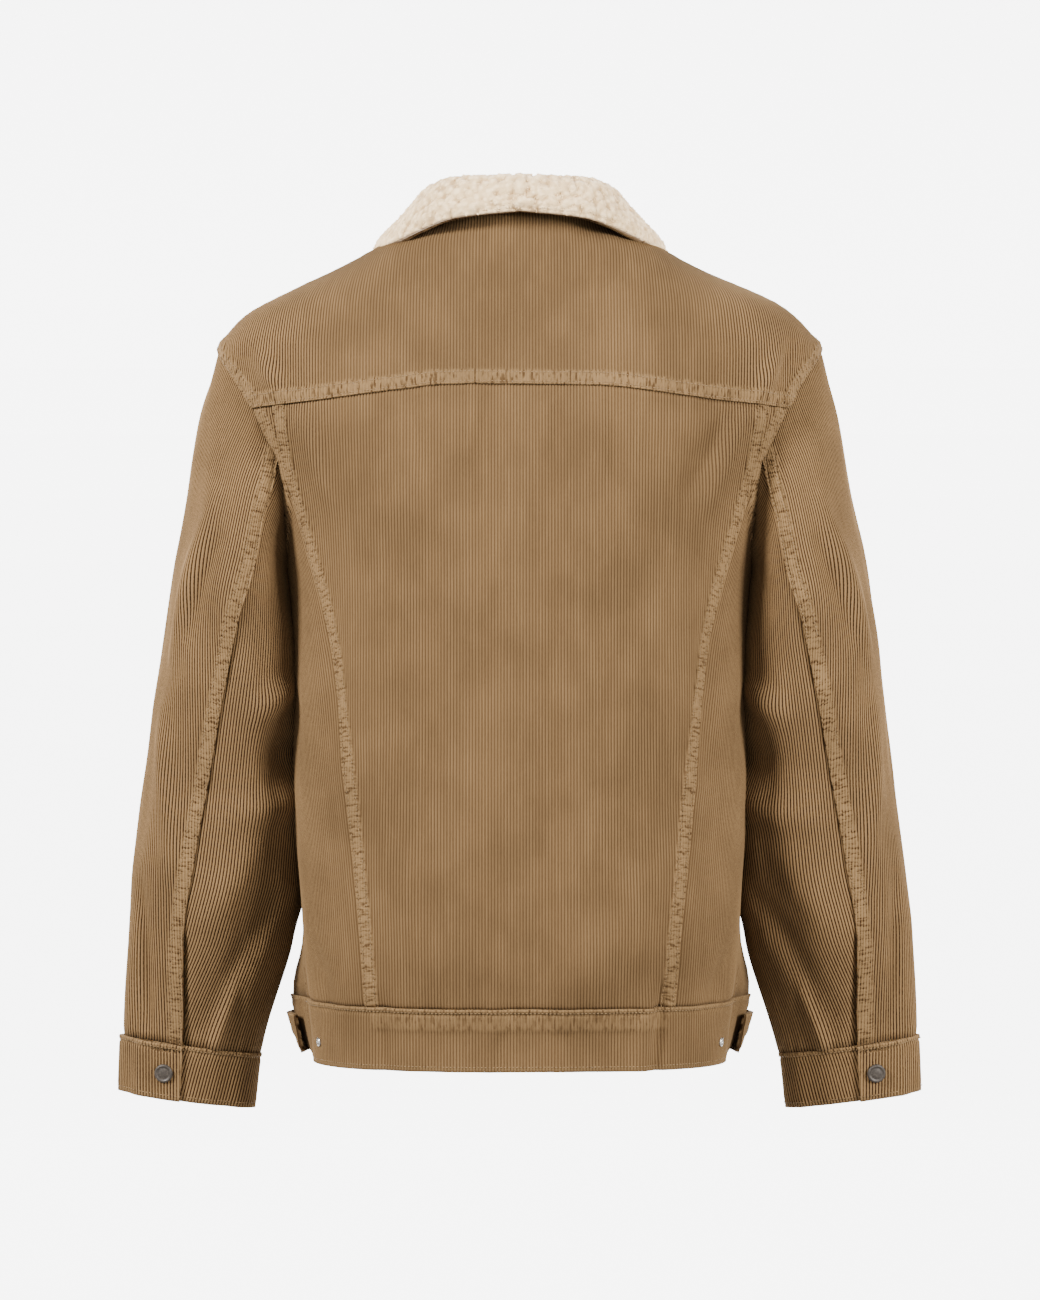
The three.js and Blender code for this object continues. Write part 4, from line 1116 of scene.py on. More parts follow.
def stitch_group():
    tree = node_group(
        "stitch_rows",
        [
            ("Pitch", "NodeSocketFloat"),
            ("Length", "NodeSocketFloat"),
            ("Thickness", "NodeSocketFloat"),
            ("Material", "NodeSocketMaterial"),
        ],
    )
    source = geo(tree, "NodeGroupInput").outputs
    curve_node = geo(tree, "GeometryNodeMeshToCurve", {"Mesh": source["Geometry"]})
    even = geo(
        tree,
        "GeometryNodeResampleCurve",
        {"Curve": curve_node.outputs[0], "Length": source["Pitch"]},
        mode="LENGTH",
    )
    points = geo(tree, "GeometryNodeCurveToPoints", {"Curve": even.outputs[0]}, mode="EVALUATED")
    turn = geo(
        tree, "FunctionNodeAlignRotationToVector", {"Vector": points.outputs["Tangent"]}, axis="X"
    )
    size = geo(
        tree,
        "ShaderNodeCombineXYZ",
        {0: source["Length"], 1: source["Thickness"], 2: source["Thickness"]},
    )
    return beads_on_points(tree, source, points, turn, size)


def curl_group():
    tree = node_group(
        "pile_curls",
        [
            ("Density", "NodeSocketFloat"),
            ("Size", "NodeSocketFloat"),
            ("Seed", "NodeSocketInt"),
            ("Material", "NodeSocketMaterial"),
        ],
    )
    source = geo(tree, "NodeGroupInput").outputs
    spots = geo(
        tree,
        "GeometryNodeDistributePointsOnFaces",
        {"Mesh": source["Geometry"], "Density": source["Density"], "Seed": source["Seed"]},
    )
    spin = geo(
        tree,
        "FunctionNodeRandomValue",
        {"Min": (0.0, 0.0, 0.0), "Max": (6.28, 6.28, 6.28), "Seed": source["Seed"]},
        data_type="FLOAT_VECTOR",
    )
    grow = geo(
        tree,
        "FunctionNodeRandomValue",
        {"Min": (0.7, 0.45, 0.45), "Max": (1.35, 0.95, 0.95), "Seed": source["Seed"]},
        data_type="FLOAT_VECTOR",
    )
    size = geo(
        tree, "ShaderNodeVectorMath", {0: grow.outputs[0], "Scale": source["Size"]}, operation="SCALE"
    )
    return beads_on_points(tree, source, spots, spin, size)


def dropped(points, normals, objects, reach=14.0):
    """Points moved along their normals onto the outermost of the objects' faces."""
    graph = bpy.context.evaluated_depsgraph_get()
    trees = [BVHTree.FromObject(o, graph) for o in objects]
    out = []
    for p, n in zip(points * MM, normals):
        start = Vector(p + n * reach * MM)
        best = None
        for tree in trees:
            hit = tree.ray_cast(start, Vector(-n), 2 * reach * MM)
            if hit[0] is not None and (best is None or hit[3] < best[1]):
                best = (hit[0], hit[3])
        out.append(None if best is None else np.array(best[0]) / MM + n * 0.12)
    return out


def stitches(name, rows, objects, mirror=False):
    """Thread along rows of (points, normals) dropped onto the cloth objects."""
    cfg = bpy.context.scene.jacket_settings
    verts, edges = [], []
    for points, normals in rows:
        last = None
        for p in dropped(points, normals, objects):
            if p is None:
                last = None
                continue
            verts.append(p)
            if last is not None and np.linalg.norm(p - verts[last]) < 6:
                edges.append((last, len(verts) - 1))
            last = len(verts) - 1
    verts = np.array(verts) * MM
    if mirror:
        verts = verts * np.array([-1, 1, 1])
    mesh = bpy.data.meshes.new(name + "_path")
    mesh.from_pydata(verts.tolist(), edges, [])
    obj = bpy.data.objects.new(name + "_path", mesh)
    bpy.context.scene.collection.objects.link(obj)
    tree = bpy.data.node_groups.get("stitch_rows") or stitch_group()
    values = {
        "Pitch": cfg.stitch_pitch,
        "Length": cfg.stitch_pitch * 0.74,
        "Thickness": 0.95 * MM,
        "Material": material("thread"),
    }
    done = applied(obj, name, tree, values)
    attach(done, "root")


# Pieces


def finished(built, nodes):
    """Attaches a cloth shell to the root body and hides the frame's parts that it stands for."""
    obj, size, area = built
    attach(obj, "root")
    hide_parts(*nodes)


def cloth_slots():
    return [material("corduroy"), material("lining_pile")]


def rows_between(z_low, z_high, step, *dense):
    """Levels from one height to another, closer together within each (low, high, step)."""
    zs = [np.linspace(z_low, z_high, int((z_high - z_low) / step) + 2)]
    for low, high, close in dense:
        zs.append(np.arange(low, high, close))
    z = np.sort(np.concatenate(zs))
    keep = np.concatenate([[True], np.diff(z) > 0.6])
    keep[-1] = True
    return np.unique(level_at(z[keep]))


def at_all(value):
    return lambda a: np.full_like(a, value)


def lap_lift(high, past):
    """Lift of a front that laps over the other one, from its free edge's distance past centre."""

    def lift(p):
        from_edge = p[:, 0] + past
        return np.where(p[:, 1] < 0, high * (1 - ease((from_edge - 42) / 8)), 0)

    return lift


def panel_height(rules, mirror=False, lift=None):
    """Height of a body panel, or of a right one built as the left one's mirror image."""

    def height(a, b, p):
        high, mark = sewn(p, rules)
        there = p * np.array([-1, 1, 1]) if mirror else p
        rise = lift(p) if lift else np.zeros(len(p))
        return rise, high + body_fold(there), mark

    return height


def back_panels(lines):
    cfg = bpy.context.scene.jacket_settings
    step, fell = cfg.row_step / MM, cfg.fell_width / MM
    rows = rows_between(BAND_Z, -118, step * 0.8, (-150, -118, 2.4), (-606, -598, 2.5))
    layout = Layout(
        body,
        rows,
        (20, 160),
        lambda b: 90.0,
        lambda b: (seam_turn(b), 180 - seam_turn(b)),
        at_all(level_at(BAND_Z)),
        yoke_level,
    )
    rules = [
        (lines["back_left"], "over", fell, 8.5, 21),
        (lines["back_right"], "over", fell, 8.5, 31),
        (lines["yoke"], "under", 0, 7, 41),
        (lines["band"], "under", 0, 9, 51),
    ]
    name = "cloth_back_centre"
    built = cloth_panel(name, layout, body_normal, panel_height(rules), BODY_WALL, cloth_slots())
    finished(built, ["back_centre"])
    rows = rows_between(BAND_Z, -128, step, (-150, -128, 3), (-606, -598, 3))
    for side, mirror in SIDES:
        layout = Layout(
            body,
            rows,
            (-2, 100),
            seam_turn,
            lambda b: (arm_turn(b, ARM_BACK), seam_turn(b)),
            at_all(level_at(BAND_Z)),
            yoke_level,
        )
        rules = [
            (lines["back_left"], "under", 0, 8.5, 31 if mirror else 21),
            (lines["arm_left"], "over", fell, 7, 61),
            (lines["yoke"], "under", 0, 7, 41),
            (lines["band"], "under", 0, 9, 51),
        ]
        name = "cloth_back_side_" + side
        height = panel_height(rules, mirror)
        built = cloth_panel(
            name, layout, body_normal, height, BODY_WALL, cloth_slots(), mirror=mirror
        )
        finished(built, ["back_side_" + side])


def yoke_panel(lines):
    cfg = bpy.context.scene.jacket_settings
    step, fell = cfg.row_step / MM, cfg.fell_width / MM
    rows = rows_between(-140, 16.5, step * 0.75, (-139, -104, 1.7))
    layout = Layout(
        body,
        rows,
        (-2, 182),
        lambda b: 90.0,
        lambda b: (arm_turn(b, ARM_BACK), 180 - arm_turn(b, ARM_BACK)),
        yoke_level,
        neck_level,
    )
    rules = [
        (lines["yoke"], "over", fell, 4.6, 41),
        (lines["arm_left"], "over", fell, 6, 61),
        (lines["arm_right"], "over", fell, 6, 71),
    ]
    name = "cloth_yoke_back"
    built = cloth_panel(name, layout, body_normal, panel_height(rules), BODY_WALL, cloth_slots())
    finished(built, ["yoke_back"])


def front_panels(lines):
    cfg = bpy.context.scene.jacket_settings
    step, fell = cfg.row_step / MM, cfg.fell_width / MM
    rows = rows_between(BAND_Z, 10, step * 1.5)
    for side, past, mirror in FRONT_SIDES:
        turns = np.linspace(-125, -80, 500)

        def free_edge(b, past=past, turns=turns):
            b = np.asarray(b, float)
            flat = b.ravel()
            levels = np.unique(np.round(np.linspace(0, TOP, 160), 3))
            found = np.array([np.interp(-past, body(turns, v)[:, 0], turns) for v in levels])
            return np.interp(flat, levels, found).reshape(b.shape)

        layout = Layout(
            body,
            rows,
            (-125, 4),
            lambda b: -90.0,
            lambda b, edge=free_edge: (edge(b), -arm_turn(b, ARM_FRONT)),
            at_all(level_at(BAND_Z)),
            neck_level,
            2,
        )
        rules = [(lines["arm_left"], "over", fell, 7, 81), (lines["band"], "under", 0, 9, 51)]
        lift = lap_lift(LAP_LIFT, past) if side == "left" else None
        name = "cloth_front_" + side
        height = panel_height(rules, mirror, lift)
        built = cloth_panel(
            name, layout, body_normal, height, BODY_WALL, cloth_slots(), mirror=mirror
        )
        finished(built, ["front_" + side])


def band_height(lines, mirror, lift):
    """Relief of the waistband: rolled top edge, ledge of the turned hem and pulled cloth."""

    def height(a, b, p):
        d_top, run = lines["band"].near(p, 14)
        d_hem, _ = lines["hem"].near(p, 10)
        x = -p[:, 0] if mirror else p[:, 0]
        roll = 0.9 * np.exp(-(((d_top - 1.4) / 1.5) ** 2))
        groove = -0.7 * np.exp(-(((d_top - 4.0) / 1.3) ** 2))
        middle = (p[:, 1] > 0) * ease((118 - np.abs(x)) / 6)
        ledge = middle * 0.9 * ease((p[:, 2] + 623.5) / 1.8)
        puffs = middle * 0.8 * noise(x / 7.5, p[:, 2] / 40, 91) * ease((p[:, 2] + 626) / 5)
        hem = 0.5 * np.exp(-(((d_hem - 1.2) / 1.6) ** 2)) - 0.35 * np.exp(-(((d_hem - 4) / 1) ** 2))
        ripple = 0.35 * noise(run / 5.5, run * 0 + 0.4, 93) * np.exp(-d_top / 6)
        there = np.stack([x, p[:, 1], p[:, 2]], -1)
        rise = lift(p) if lift else np.zeros(len(p))
        # The rolled top edge and the ledge carry the seam mark, so the corduroy finish paints lighter
        # crests and darker pits on them: partly wear, partly painted highlight and shade.
        mark = np.maximum(np.exp(-((d_top / 3.2) ** 2)), np.exp(-((d_hem / 1.6) ** 2)) * 0.8)
        mark = marked(np.maximum(mark, ledge * 0.6), run, d_top - 20)
        relief = BAND_RISE + roll + groove + ledge + puffs + hem + ripple + 0.7 * body_fold(there)
        return rise, relief, mark

    return height


def waistband(lines):
    low, high = level_at(HEM_Z) + 0.01, level_at(BAND_Z)
    rows = np.unique(np.concatenate([np.linspace(low, high, 17), np.linspace(high - 9, high, 9)]))
    layout = Layout(
        body, rows, (-2, 182), lambda b: 90.0, lambda b: (b * 0, b * 0 + 180), at_all(low), at_all(high)
    )
    name, height = "cloth_waistband_back", band_height(lines, False, None)
    built = cloth_panel(name, layout, body_normal, height, BAND_WALL, cloth_slots())
    finished(built, ["waistband_back"])
    rows = np.linspace(low, high, 15)
    for side, past, mirror in FRONT_SIDES:
        turns = np.linspace(-125, -70, 500)

        def limits(b, past=past, turns=turns):
            levels = np.linspace(low, high, 24)
            found = np.array([np.interp(-past, body(turns, v)[:, 0], turns) for v in levels])
            return np.interp(b, levels, found), b * 0.0

        layout = Layout(
            body, rows, (-125, 4), lambda b: -90.0, limits, at_all(low), at_all(high), 2
        )
        lift = lap_lift(4.8, past) if side == "left" else None
        name = "cloth_waistband_front_" + side
        height = band_height(lines, mirror, lift)
        built = cloth_panel(
            name, layout, body_normal, height, BAND_WALL, cloth_slots(), mirror=mirror
        )
        finished(built, ["waistband_front_" + side])


def sleeve_height(rules, lines, side, top):
    """Height of the top sleeve, with its cuff vent, or of the under sleeve."""

    def height(a, b, p):
        high, mark = sewn(p, rules)
        vent = ease((b - VENT_W) / 0.02)
        from_seam, _ = lines["sleeve_back"].near(p, 20)
        if top:
            placket = vent * ease((14.5 - from_seam) / 1.5)
            high = high + 0.8 * placket + vent * 0.4 * np.exp(-((from_seam / 2) ** 2))
            mark[:, 0] = np.maximum(mark[:, 0], 0.5 * placket)
        else:
            high = high - 2.2 * vent * np.exp(-((from_seam / 5) ** 2))
            inner, _ = lines["sleeve_inner"].near(p, 12)
            high = high + 1.1 * np.exp(-((inner / 3.2) ** 2)) * ease(b / 0.1)
        above_cuff = np.maximum(CUFF_W - b, 0) * SLEEVE_RUN
        gather = noise(a / 6.5, b * 4, 95) * 0.9 * np.exp(-above_cuff / 16)
        return np.zeros(len(p)), high + gather + sleeve_fold(a, b, side), mark

    return height


def sleeves(lines):
    cfg = bpy.context.scene.jacket_settings
    step, fell = cfg.row_step / MM * 0.86, cfg.fell_width / MM
    rows = np.linspace(0, CUFF_W, int(CUFF_W * SLEEVE_RUN / step))
    rows = np.unique(np.concatenate([rows, np.linspace(0, 0.012, 3)]))
    for side, sign, mirror in (("left", 0, False), ("right", 1, True)):
        top = Layout(
            sleeve,
            rows,
            (-182, 130),
            lambda b: 0.0,
            lambda b: (b * 0.0 - 180, sleeve_seam(b)),
            at_all(0.0),
            at_all(CUFF_W),
        )
        under = Layout(
            sleeve,
            rows,
            (60, 182),
            lambda b: 180.0,
            lambda b: (sleeve_seam(b), b * 0.0 + 180),
            at_all(0.0),
            at_all(CUFF_W),
        )
        rules = [
            (lines["sleeve_back"], "over", fell, 9, 101 + sign),
            (lines["arm_left"], "under", 0, 7, 61),
            (lines["cuff"], "under", 0, 8, 103),
        ]
        name = "cloth_sleeve_top_" + side
        height = sleeve_height(rules, lines, sign, True)
        built = cloth_panel(
            name, top, sleeve_normal, height, SLEEVE_WALL, cloth_slots(), SLEEVE_RUN, mirror
        )
        finished(built, ["sleeve_top_" + side])
        rules[0] = (lines["sleeve_back"], "under", 0, 9, 101 + sign)
        name = "cloth_sleeve_under_" + side
        height = sleeve_height(rules, lines, sign, False)
        built = cloth_panel(
            name, under, sleeve_normal, height, SLEEVE_WALL, cloth_slots(), SLEEVE_RUN, mirror
        )
        finished(built, ["sleeve_under_" + side])
        cuff_piece(lines, side, sign, mirror)


def cuff_piece(lines, side, sign, mirror):
    """Cuff with a lapped end that stands off the one below it."""
    rows = np.unique(
        np.concatenate([np.linspace(CUFF_W, 1.0, 13), np.linspace(CUFF_W, CUFF_W + 0.012, 6)])
    )
    layout = Layout(
        sleeve,
        rows,
        (56, 448),
        lambda b: 360.0,
        lambda b: (b * 0.0 + 58, b * 0.0 + 446),
        at_all(CUFF_W),
        at_all(1.0),
    )

    def height(a, b, p):
        lift = CUFF_LIFT * np.clip((a - 392) / 16, 0, 1)
        d_top, run = lines["cuff"].near(p, 14)
        d_end = (1 - b) * SLEEVE_RUN
        free = np.where(a > 420, (446 - a) * 0.72, 99)
        rim = np.minimum(d_end, free)
        roll = 0.8 * np.exp(-(((d_top - 1.4) / 1.5) ** 2)) - 0.6 * np.exp(-(((d_top - 4) / 1.3) ** 2))
        sewn_edge = -0.4 * np.exp(-(((rim - 3.2) / 0.9) ** 2))
        mark = np.maximum(np.exp(-((d_top / 3.0) ** 2)), np.exp(-((rim / 2.2) ** 2)) * 0.8)
        ripple = 0.4 * noise(run / 5, run * 0 + 0.2, 97) * np.exp(-d_top / 6)
        folds = 0.8 * noise(a / 14, b * 6, 99 + sign)
        return lift, 1.0 + roll + sewn_edge + ripple + folds, marked(mark, run, d_top)

    name = "cloth_cuff_" + side
    built = cloth_panel(
        name, layout, sleeve_normal, height, CUFF_WALL, cloth_slots(), SLEEVE_RUN, mirror
    )
    finished(built, ["cuff_" + side])


def tabs():
    """Narrow strips on the front waistband that stand off it at their rear end."""
    low, high = level_at(TAB_LOW), level_at(TAB_HIGH)
    rows = np.linspace(low, high, 13)
    layout = Layout(
        body,
        rows,
        (-40, 2),
        lambda b: TAB_TO,
        lambda b: (b * 0.0 + TAB_FROM, b * 0.0 + TAB_TO),
        at_all(low),
        at_all(high),
    )

    def height(a, b, p):
        share = np.clip((a - TAB_FROM) / (TAB_TO - TAB_FROM), 0, 1)
        lift = BAND_RISE + 0.4 + TAB_WALL + TAB_STAND * share**2
        edge = np.minimum(b - low, high - b)
        mark = np.exp(-((edge / 2.0) ** 2))
        relief = 0.4 * noise(p[:, 2] / 7, a / 6, 111) - 0.35 * np.exp(-(((edge - 3) / 0.9) ** 2))
        return lift, relief, marked(mark, p[:, 2], a)

    both_faces = [material("corduroy")] * 2
    for side, mirror in SIDES:
        name = "cloth_tab_" + side
        built = cloth_panel(
            name, layout, body_normal, height, TAB_WALL, both_faces, mirror=mirror
        )
        finished(built, ["tab_" + side])


def clumps(p, cell, seed):
    """Rounded clumps of pile at points in space: 1 on a clump's crown, 0 between clumps."""
    q = p / cell
    home = np.floor(q).astype(np.int64)
    best = np.full(len(p), 9.0)
    for dx in (-1, 0, 1):
        for dy in (-1, 0, 1):
            for dz in (-1, 0, 1):
                c = home + np.array([dx, dy, dz])
                spot = []
                for k in range(3):
                    h = (c[:, 0] * 73856093 + c[:, 1] * 19349663 + c[:, 2] * 83492791) & 0x7FFFFFFF
                    h = ((h ^ (h >> 11)) * (2654435 + 977 * k + seed)) & 0x7FFFFFFF
                    spot.append(((h ^ (h >> 15)) & 0xFFFF) / 65535.0)
                d = np.linalg.norm(c + np.stack(spot, -1) - q, axis=1)
                best = np.minimum(best, d)
    return np.sqrt(np.clip(1 - (best / 0.85) ** 2, 0, 1))


def collar_pieces():
    cfg = bpy.context.scene.jacket_settings
    depth = cfg.pile_depth / MM
    cols, rows = 420, 76
    q, along = np.meshgrid(np.linspace(-1, 1, cols), np.linspace(0, 1, rows))
    shape = q.shape
    q, along = q.ravel(), along.ravel()
    base, n = collar(q, along), collar_normal(q, along) * COLLAR_SIDE
    rim = np.minimum(np.minimum((1 - np.abs(q)) * 260, (1 - along) * 62), along * 40 + 2.5)
    thick = 0.15 + depth * np.sqrt(np.clip(rim / 5.0, 0.1, 1))
    crown = clumps(base + n * 3, 5.2, 5)
    lumps = crown * 3.0 + clumps(base, 2.6, 9) * 0.6
    fade = ease(rim / 2.5)
    upper = base + n * (thick - 1.0 + lumps * (0.35 + 0.65 * fade))[:, None]
    out = unit(np.stack([base[:, 0], base[:, 1], base[:, 2] * 0], -1))
    upper = upper + out * (np.exp(-rim / 1.6) * lumps * 0.9)[:, None]
    faces = grid_faces(*shape)
    if np.einsum("ij,ij->", face_normals(base, faces), n[faces[:, 0]]) < 0:
        faces = faces[:, ::-1]
    edges = rim_edges(faces)
    lower = base + n * 0.15
    a, b = edges[:, 0], edges[:, 1]
    count = len(base)
    walls = np.concatenate([np.stack([b, a, a + count], -1), np.stack([b, a + count, b + count], -1)])
    thin = faces[:, ::-1] + count
    verts = np.concatenate([upper, lower])
    every = np.concatenate([faces, walls, thin])
    # Painted shade mask for the pile finish: 1 between the clumps, where the crevices are darkened.
    gaps = np.concatenate([1 - crown, crown * 0])
    finish = [material("collar_pile")]
    obj = write_mesh("pile_collar_top", verts, every, finish, None, marked(gaps, gaps, gaps))
    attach(obj, "root")
    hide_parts("collar_top")
    seeds = write_mesh("curl_seeds", upper - n * 0.4, faces, [material("collar_pile")])
    values = {
        "Density": 90000.0,
        "Size": 2.3 * MM,
        "Seed": 7,
        "Material": material("collar_pile"),
    }
    curls = applied(seeds, "pile_collar_curls", curl_group(), values)
    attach(curls, "root")


def collar_under():
    rows = np.linspace(0, 1, 40)
    layout = Layout(
        collar,
        rows,
        (-1, 1),
        lambda b: 0.0,
        lambda b: (b * 0.0 - 1, b * 0.0 + 1),
        at_all(0.0),
        at_all(1.0),
        2,
    )
    normal = lambda a, b: -COLLAR_SIDE * collar_normal(a, b)

    def height(a, b, p):
        edge = (1 - b) * 62
        mark = np.exp(-((edge / 3.0) ** 2))
        relief = 0.4 * noise(p[:, 0] / 9, p[:, 1] / 9, 121) - 0.3 * np.exp(-(((edge - 4) / 1) ** 2))
        return np.full(len(a), 1.95), np.minimum(relief, 0.3), marked(mark, a * 300, edge)

    name, both_faces = "cloth_collar_under", [material("corduroy")] * 2
    built = cloth_panel(name, layout, normal, height, UNDER_COLLAR_WALL, both_faces, 90.0)
    finished(built, ["collar_under"])


def turned(name, point, normal, profile, paint, nodes):
    """Round fastening turned about the cloth's normal from (radius, height) points."""
    around = 40
    t = Vector(normal).normalized()
    across = Vector((0, 0, 1)).cross(t).normalized()
    up = t.cross(across)
    frame_rows = np.array([across, up, t])
    angles = np.arange(around) * 2 * math.pi / around
    verts, rings = [], []
    for r, h in profile:
        if r == 0:
            rings.append([len(verts)])
            verts.append((0, 0, h))
            continue
        rings.append(list(range(len(verts), len(verts) + around)))
        verts += [(r * math.cos(a), r * math.sin(a), h) for a in angles]
    faces = []
    for low, high in zip(rings, rings[1:]):
        for i in range(around):
            j = (i + 1) % around
            if len(low) > 1:
                faces.append((low[i], low[j], high[j] if len(high) > 1 else high[0]))
            if len(high) > 1:
                faces.append((low[i] if len(low) > 1 else low[0], high[j], high[i]))
    verts = np.array(verts, float) @ frame_rows + point
    faces = np.array(faces)
    middle = verts.mean(0)
    tri = verts[faces]
    if np.einsum("ij,ij->", face_normals(verts, faces), tri.mean(1) - middle) < 0:
        faces = faces[:, ::-1]
    obj = write_mesh(name, verts, faces, [material(paint)])
    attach(obj, "root")
    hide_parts(*nodes)


def cap_profile(radius, high):
    """Snap cap with a rolled rim, a ring groove and a low crown."""
    shares = [
        (0, -0.15),
        (0.93, -0.15),
        (1.0, 0.2),
        (0.99, 0.55),
        (0.92, 0.88),
        (0.83, 1.0),
        (0.74, 0.9),
        (0.67, 0.7),
        (0.6, 0.66),
        (0.5, 0.76),
        (0.3, 0.84),
        (0.0, 0.88),
    ]
    return [(r * radius, h * high) for r, h in shares]


def stud_profile(radius, high):
    """Small stud with a round rim and a hollow middle."""
    shares = [
        (0, -0.2),
        (0.9, -0.2),
        (1.0, 0.3),
        (0.92, 0.8),
        (0.7, 1.0),
        (0.42, 0.8),
        (0.3, 0.3),
        (0, 0.25),
    ]
    return [(r * radius, h * high) for r, h in shares]


def place_on(surface, normal, a, b, off):
    """Point off a surface along its normal, and the normal."""
    a, b = np.array([float(a)]), np.array([float(b)])
    n = normal(a, b)[0]
    return surface(a, b)[0] + n * off, n


def onto_body(x, z, back):
    """Angle and level of the body surface at a distance from the centre and a height."""
    level = float(level_at(z))
    turns = np.linspace(0, 180, 1800) if back else np.linspace(-180, 0, 1800)
    xs = body(turns, level)[:, 0]
    order = np.argsort(xs)
    return float(np.interp(x, xs[order], turns[order])), level


def fastenings():
    cap = cap_profile(*CAP)
    for k, z in enumerate(FRONT_SNAP_HEIGHTS, 1):
        point, n = place_on(body, body_normal, *onto_body(0, z, False), LAP_LIFT + 0.9)
        node = "snap_front_" + str(k)
        turned("metal_" + node, point, n, cap, "dark_snap", [node])
    over_lap = 2 * BAND_RISE + BAND_WALL + 1.5
    on_waist = onto_body(0, WAIST_SNAP_HEIGHT, False)
    point, n = place_on(body, body_normal, *on_waist, over_lap)
    turned("metal_snap_waistband", point, n, cap, "dark_snap", ["snap_waistband"])
    on_band = place_on(body, body_normal, *onto_body(STUD_X, STUD_Z, True), 1.5)
    over_tab = BAND_RISE + TAB_WALL + 2.9
    on_tab = place_on(body, body_normal, TAB_SNAP_TURN, level_at(TAB_SNAP_Z), over_tab)
    on_cuff = place_on(sleeve, sleeve_normal, CUFF_SNAP_ROUND, CUFF_SNAP_W, CUFF_LIFT + 1.9)
    spots = [
        ("stud_", on_band, stud_profile(*STUD)),
        ("snap_tab_", on_tab, cap_profile(*TAB_CAP)),
        ("snap_cuff_", on_cuff, cap),
    ]
    for stem, (point, n), profile in spots:
        paint = "bright_stud" if stem == "stud_" else "dark_snap"
        for side, sign in (("left", 1), ("right", -1)):
            flip = np.array([sign, 1, 1])
            turned("metal_" + stem + side, point * flip, n * flip, profile, paint, [stem + side])


def stitching(lines):
    """Rows of thread: on the left sleeve they are laid once and mirrored for the right one."""
    fell = bpy.context.scene.jacket_settings.fell_width / MM
    felled = (STITCH_INSET, fell - STITCH_INSET)
    rows = []
    for name, distances, target in (
        ("back_left", felled, (0, 0, -350)),
        ("back_right", felled, (0, 0, -350)),
        ("yoke", felled, (0, 100, 200)),
        ("band", [2.6], (0, 0, -2000)),
        ("hem", [3.4], (0, 0, 2000)),
    ):
        rows += rows_beside(lines[name], distances, target)
    stitches("stitches_back", rows, cloth_named("back_centre", "yoke_back", "waistband_back"))
    sleeve_rows = rows_beside(lines["sleeve_back"], felled, (900, 0, -300))
    sleeve_rows += rows_beside(lines["cuff"], [2.6], (250, 0, -2000))
    sleeve_rows += rows_beside(lines["cuff_end"], [2.2], (250, 0, 2000))
    for side, mirror in SIDES:
        rows = rows_beside(lines["arm_" + side], felled, (0, 0, 400))
        around = cloth_named("front_" + side, "yoke_back", "back_side_" + side)
        stitches("stitches_armhole_" + side, rows, around)
        on_sleeve = cloth_named("sleeve_top_left", "cuff_left")
        stitches("stitches_sleeve_" + side, sleeve_rows, on_sleeve, mirror)


def cloth_named(*names):
    return [bpy.data.objects["cloth_" + name] for name in names]


def rows_beside(seam, distances, target):
    """The seam's line moved by each distance to the side on which the target point lies."""
    k = len(seam.points) // 2
    goal = np.array(target, float)
    rows = []
    for d in distances:
        moved, other = seam.beside(d), seam.beside(-d)
        nearer = np.linalg.norm(moved[0][k] - goal) < np.linalg.norm(other[0][k] - goal)
        rows.append(moved if nearer else other)
    return rows


def studio():
    """Pale floor that curves up into a backdrop, and soft lamps."""
    profile = [(FLOOR_FRONT, FLOOR_Z)]
    for degrees in range(0, 95, 5):
        t = math.radians(degrees)
        y = CURVE_START - CURVE_RADIUS * math.sin(t)
        profile.append((y, FLOOR_Z + CURVE_RADIUS * (1 - math.cos(t))))
    profile.append((CURVE_START - CURVE_RADIUS, PAPER_TOP))
    verts, faces = [], []
    for y, z in profile:
        verts += [(-PAPER_HALF, y, z), (PAPER_HALF, y, z)]
    for k in range(len(profile) - 1):
        faces.append((2 * k, 2 * k + 1, 2 * k + 3, 2 * k + 2))
    mesh = bpy.data.meshes.new("studio_floor")
    mesh.from_pydata(verts, [], faces)
    s = Shader("studio_paper")
    grain = s.noise(s.add("ShaderNodeTexCoord").outputs["Object"], 3.0)
    tone = s.mix(grain, (0.86, 0.86, 0.86, 1), (0.88, 0.88, 0.88, 1))
    inputs = {
        "Base Color": tone,
        "Roughness": 1.0,
        "Emission Color": (1.0, 1.0, 1.0, 1.0),
        "Emission Strength": BACKDROP_GLOW,
    }
    mesh.materials.append(s.finish(s.add("ShaderNodeBsdfPrincipled", inputs)))
    floor = bpy.data.objects.new("studio_floor", mesh)
    bpy.context.scene.collection.objects.link(floor)
    world = bpy.data.worlds.new("studio_world")
    world.use_nodes = True
    tree = world.node_tree
    tree.nodes["Background"].inputs[0].default_value = (1.0, 1.0, 1.0, 1.0)
    tree.nodes["Background"].inputs[1].default_value = WORLD_LIGHT
    bpy.context.scene.world = world
    for name, place, size, power in LAMPS:
        lamp = bpy.data.lights.new(name, "AREA")
        lamp.shape = "RECTANGLE"
        lamp.size, lamp.size_y = size
        lamp.energy = power
        obj = bpy.data.objects.new(name, lamp)
        obj.location = place
        aim = Vector(LAMP_AIM) - Vector(place)
        obj.rotation_euler = aim.to_track_quat("-Z", "Y").to_euler()
        bpy.context.scene.collection.objects.link(obj)


def camera():
    cam = bpy.data.cameras.new("camera")
    cam.lens, cam.sensor_width = CAMERA_LENS, CAMERA_SENSOR
    obj = bpy.data.objects.new("camera", cam)
    obj.location = CAMERA_PLACE
    obj.rotation_euler = (math.radians(90), 0, math.radians(180))
    bpy.context.scene.collection.objects.link(obj)
    bpy.context.scene.camera = obj


# Add-on


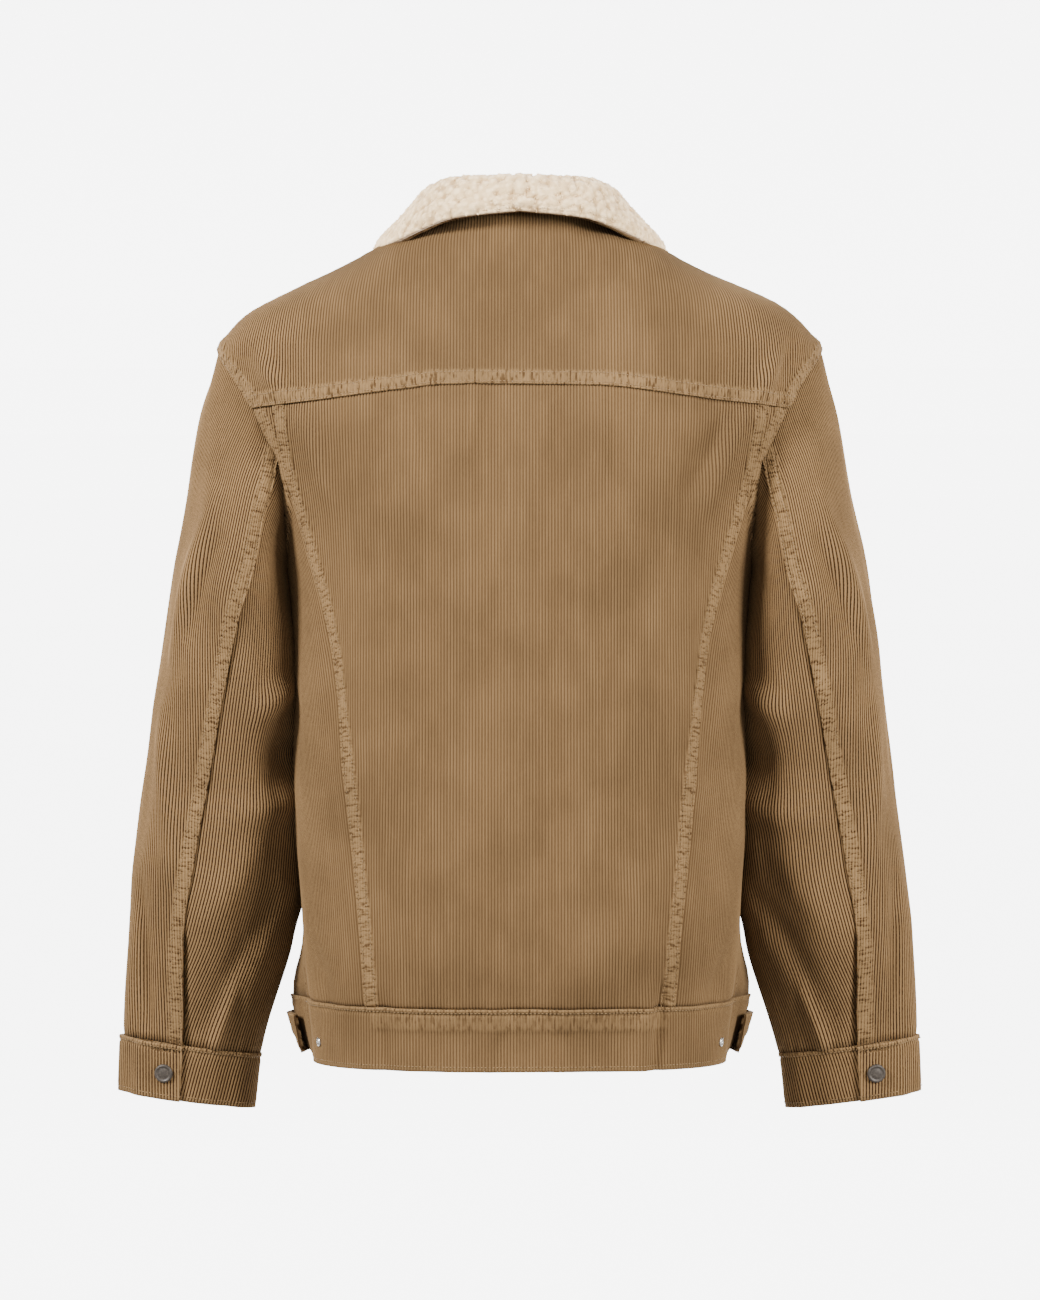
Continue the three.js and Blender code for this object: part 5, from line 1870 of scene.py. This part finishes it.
class JACKET_OT_camera(bpy.types.Operator):
    """Add the camera that looks at the jacket's back"""

    bl_idname = "jacket.camera"
    bl_label = "Camera"

    def execute(self, context):
        camera()
        return {"FINISHED"}


class JACKET_OT_body(bpy.types.Operator):
    """Build the back panels, the yoke and the fronts"""

    bl_idname = "jacket.body"
    bl_label = "Body panels"

    def execute(self, context):
        lines = seam_lines()
        yoke_panel(lines)
        back_panels(lines)
        front_panels(lines)
        return {"FINISHED"}


class JACKET_OT_waistband(bpy.types.Operator):
    """Build the waistband and its two tabs"""

    bl_idname = "jacket.waistband"
    bl_label = "Waistband"

    def execute(self, context):
        waistband(seam_lines())
        tabs()
        return {"FINISHED"}


class JACKET_OT_sleeves(bpy.types.Operator):
    """Build both sleeves and their cuffs"""

    bl_idname = "jacket.sleeves"
    bl_label = "Sleeves and cuffs"

    def execute(self, context):
        sleeves(seam_lines())
        return {"FINISHED"}


class JACKET_OT_collar(bpy.types.Operator):
    """Build the pile collar, its curls and the cloth under it"""

    bl_idname = "jacket.collar"
    bl_label = "Collar"

    def execute(self, context):
        collar_under()
        collar_pieces()
        return {"FINISHED"}


class JACKET_OT_stitching(bpy.types.Operator):
    """Sew rows of thread along the seams"""

    bl_idname = "jacket.stitching"
    bl_label = "Stitching"

    def execute(self, context):
        stitching(seam_lines())
        return {"FINISHED"}


class JACKET_OT_fastenings(bpy.types.Operator):
    """Add the snap caps and the two bright studs"""

    bl_idname = "jacket.fastenings"
    bl_label = "Snaps and studs"

    def execute(self, context):
        fastenings()
        return {"FINISHED"}


class JACKET_OT_stage(bpy.types.Operator):
    """Add the pale floor, the backdrop and the lamps"""

    bl_idname = "jacket.stage"
    bl_label = "Stage"

    def execute(self, context):
        studio()
        return {"FINISHED"}


class JACKET_PT_panel(bpy.types.Panel):
    """Sizes, colours and building steps of the jacket"""

    bl_idname = "JACKET_PT_panel"
    bl_label = "Jacket"
    bl_space_type = "VIEW_3D"
    bl_region_type = "UI"
    bl_category = "Jacket"

    def draw(self, context):
        cfg = context.scene.jacket_settings
        for name in cfg.__annotations__:
            self.layout.prop(cfg, name)
        for step in STEPS:
            self.layout.operator(step.bl_idname)


STEPS = (
    JACKET_OT_camera,
    JACKET_OT_body,
    JACKET_OT_waistband,
    JACKET_OT_sleeves,
    JACKET_OT_collar,
    JACKET_OT_stitching,
    JACKET_OT_fastenings,
    JACKET_OT_stage,
)


def register():
    for cls in (JacketSettings, *STEPS, JACKET_PT_panel):
        bpy.utils.register_class(cls)
    bpy.types.Scene.jacket_settings = bpy.props.PointerProperty(type=JacketSettings)


def unregister():
    del bpy.types.Scene.jacket_settings
    for cls in (JACKET_PT_panel, *reversed(STEPS), JacketSettings):
        bpy.utils.unregister_class(cls)


def main():
    register()
    bpy.ops.jacket.camera()
    bpy.ops.jacket.body()
    bpy.ops.jacket.waistband()
    bpy.ops.jacket.sleeves()
    bpy.ops.jacket.collar()
    bpy.ops.jacket.stitching()
    bpy.ops.jacket.fastenings()
    bpy.ops.jacket.stage()


if __name__ == "__main__":
    main()
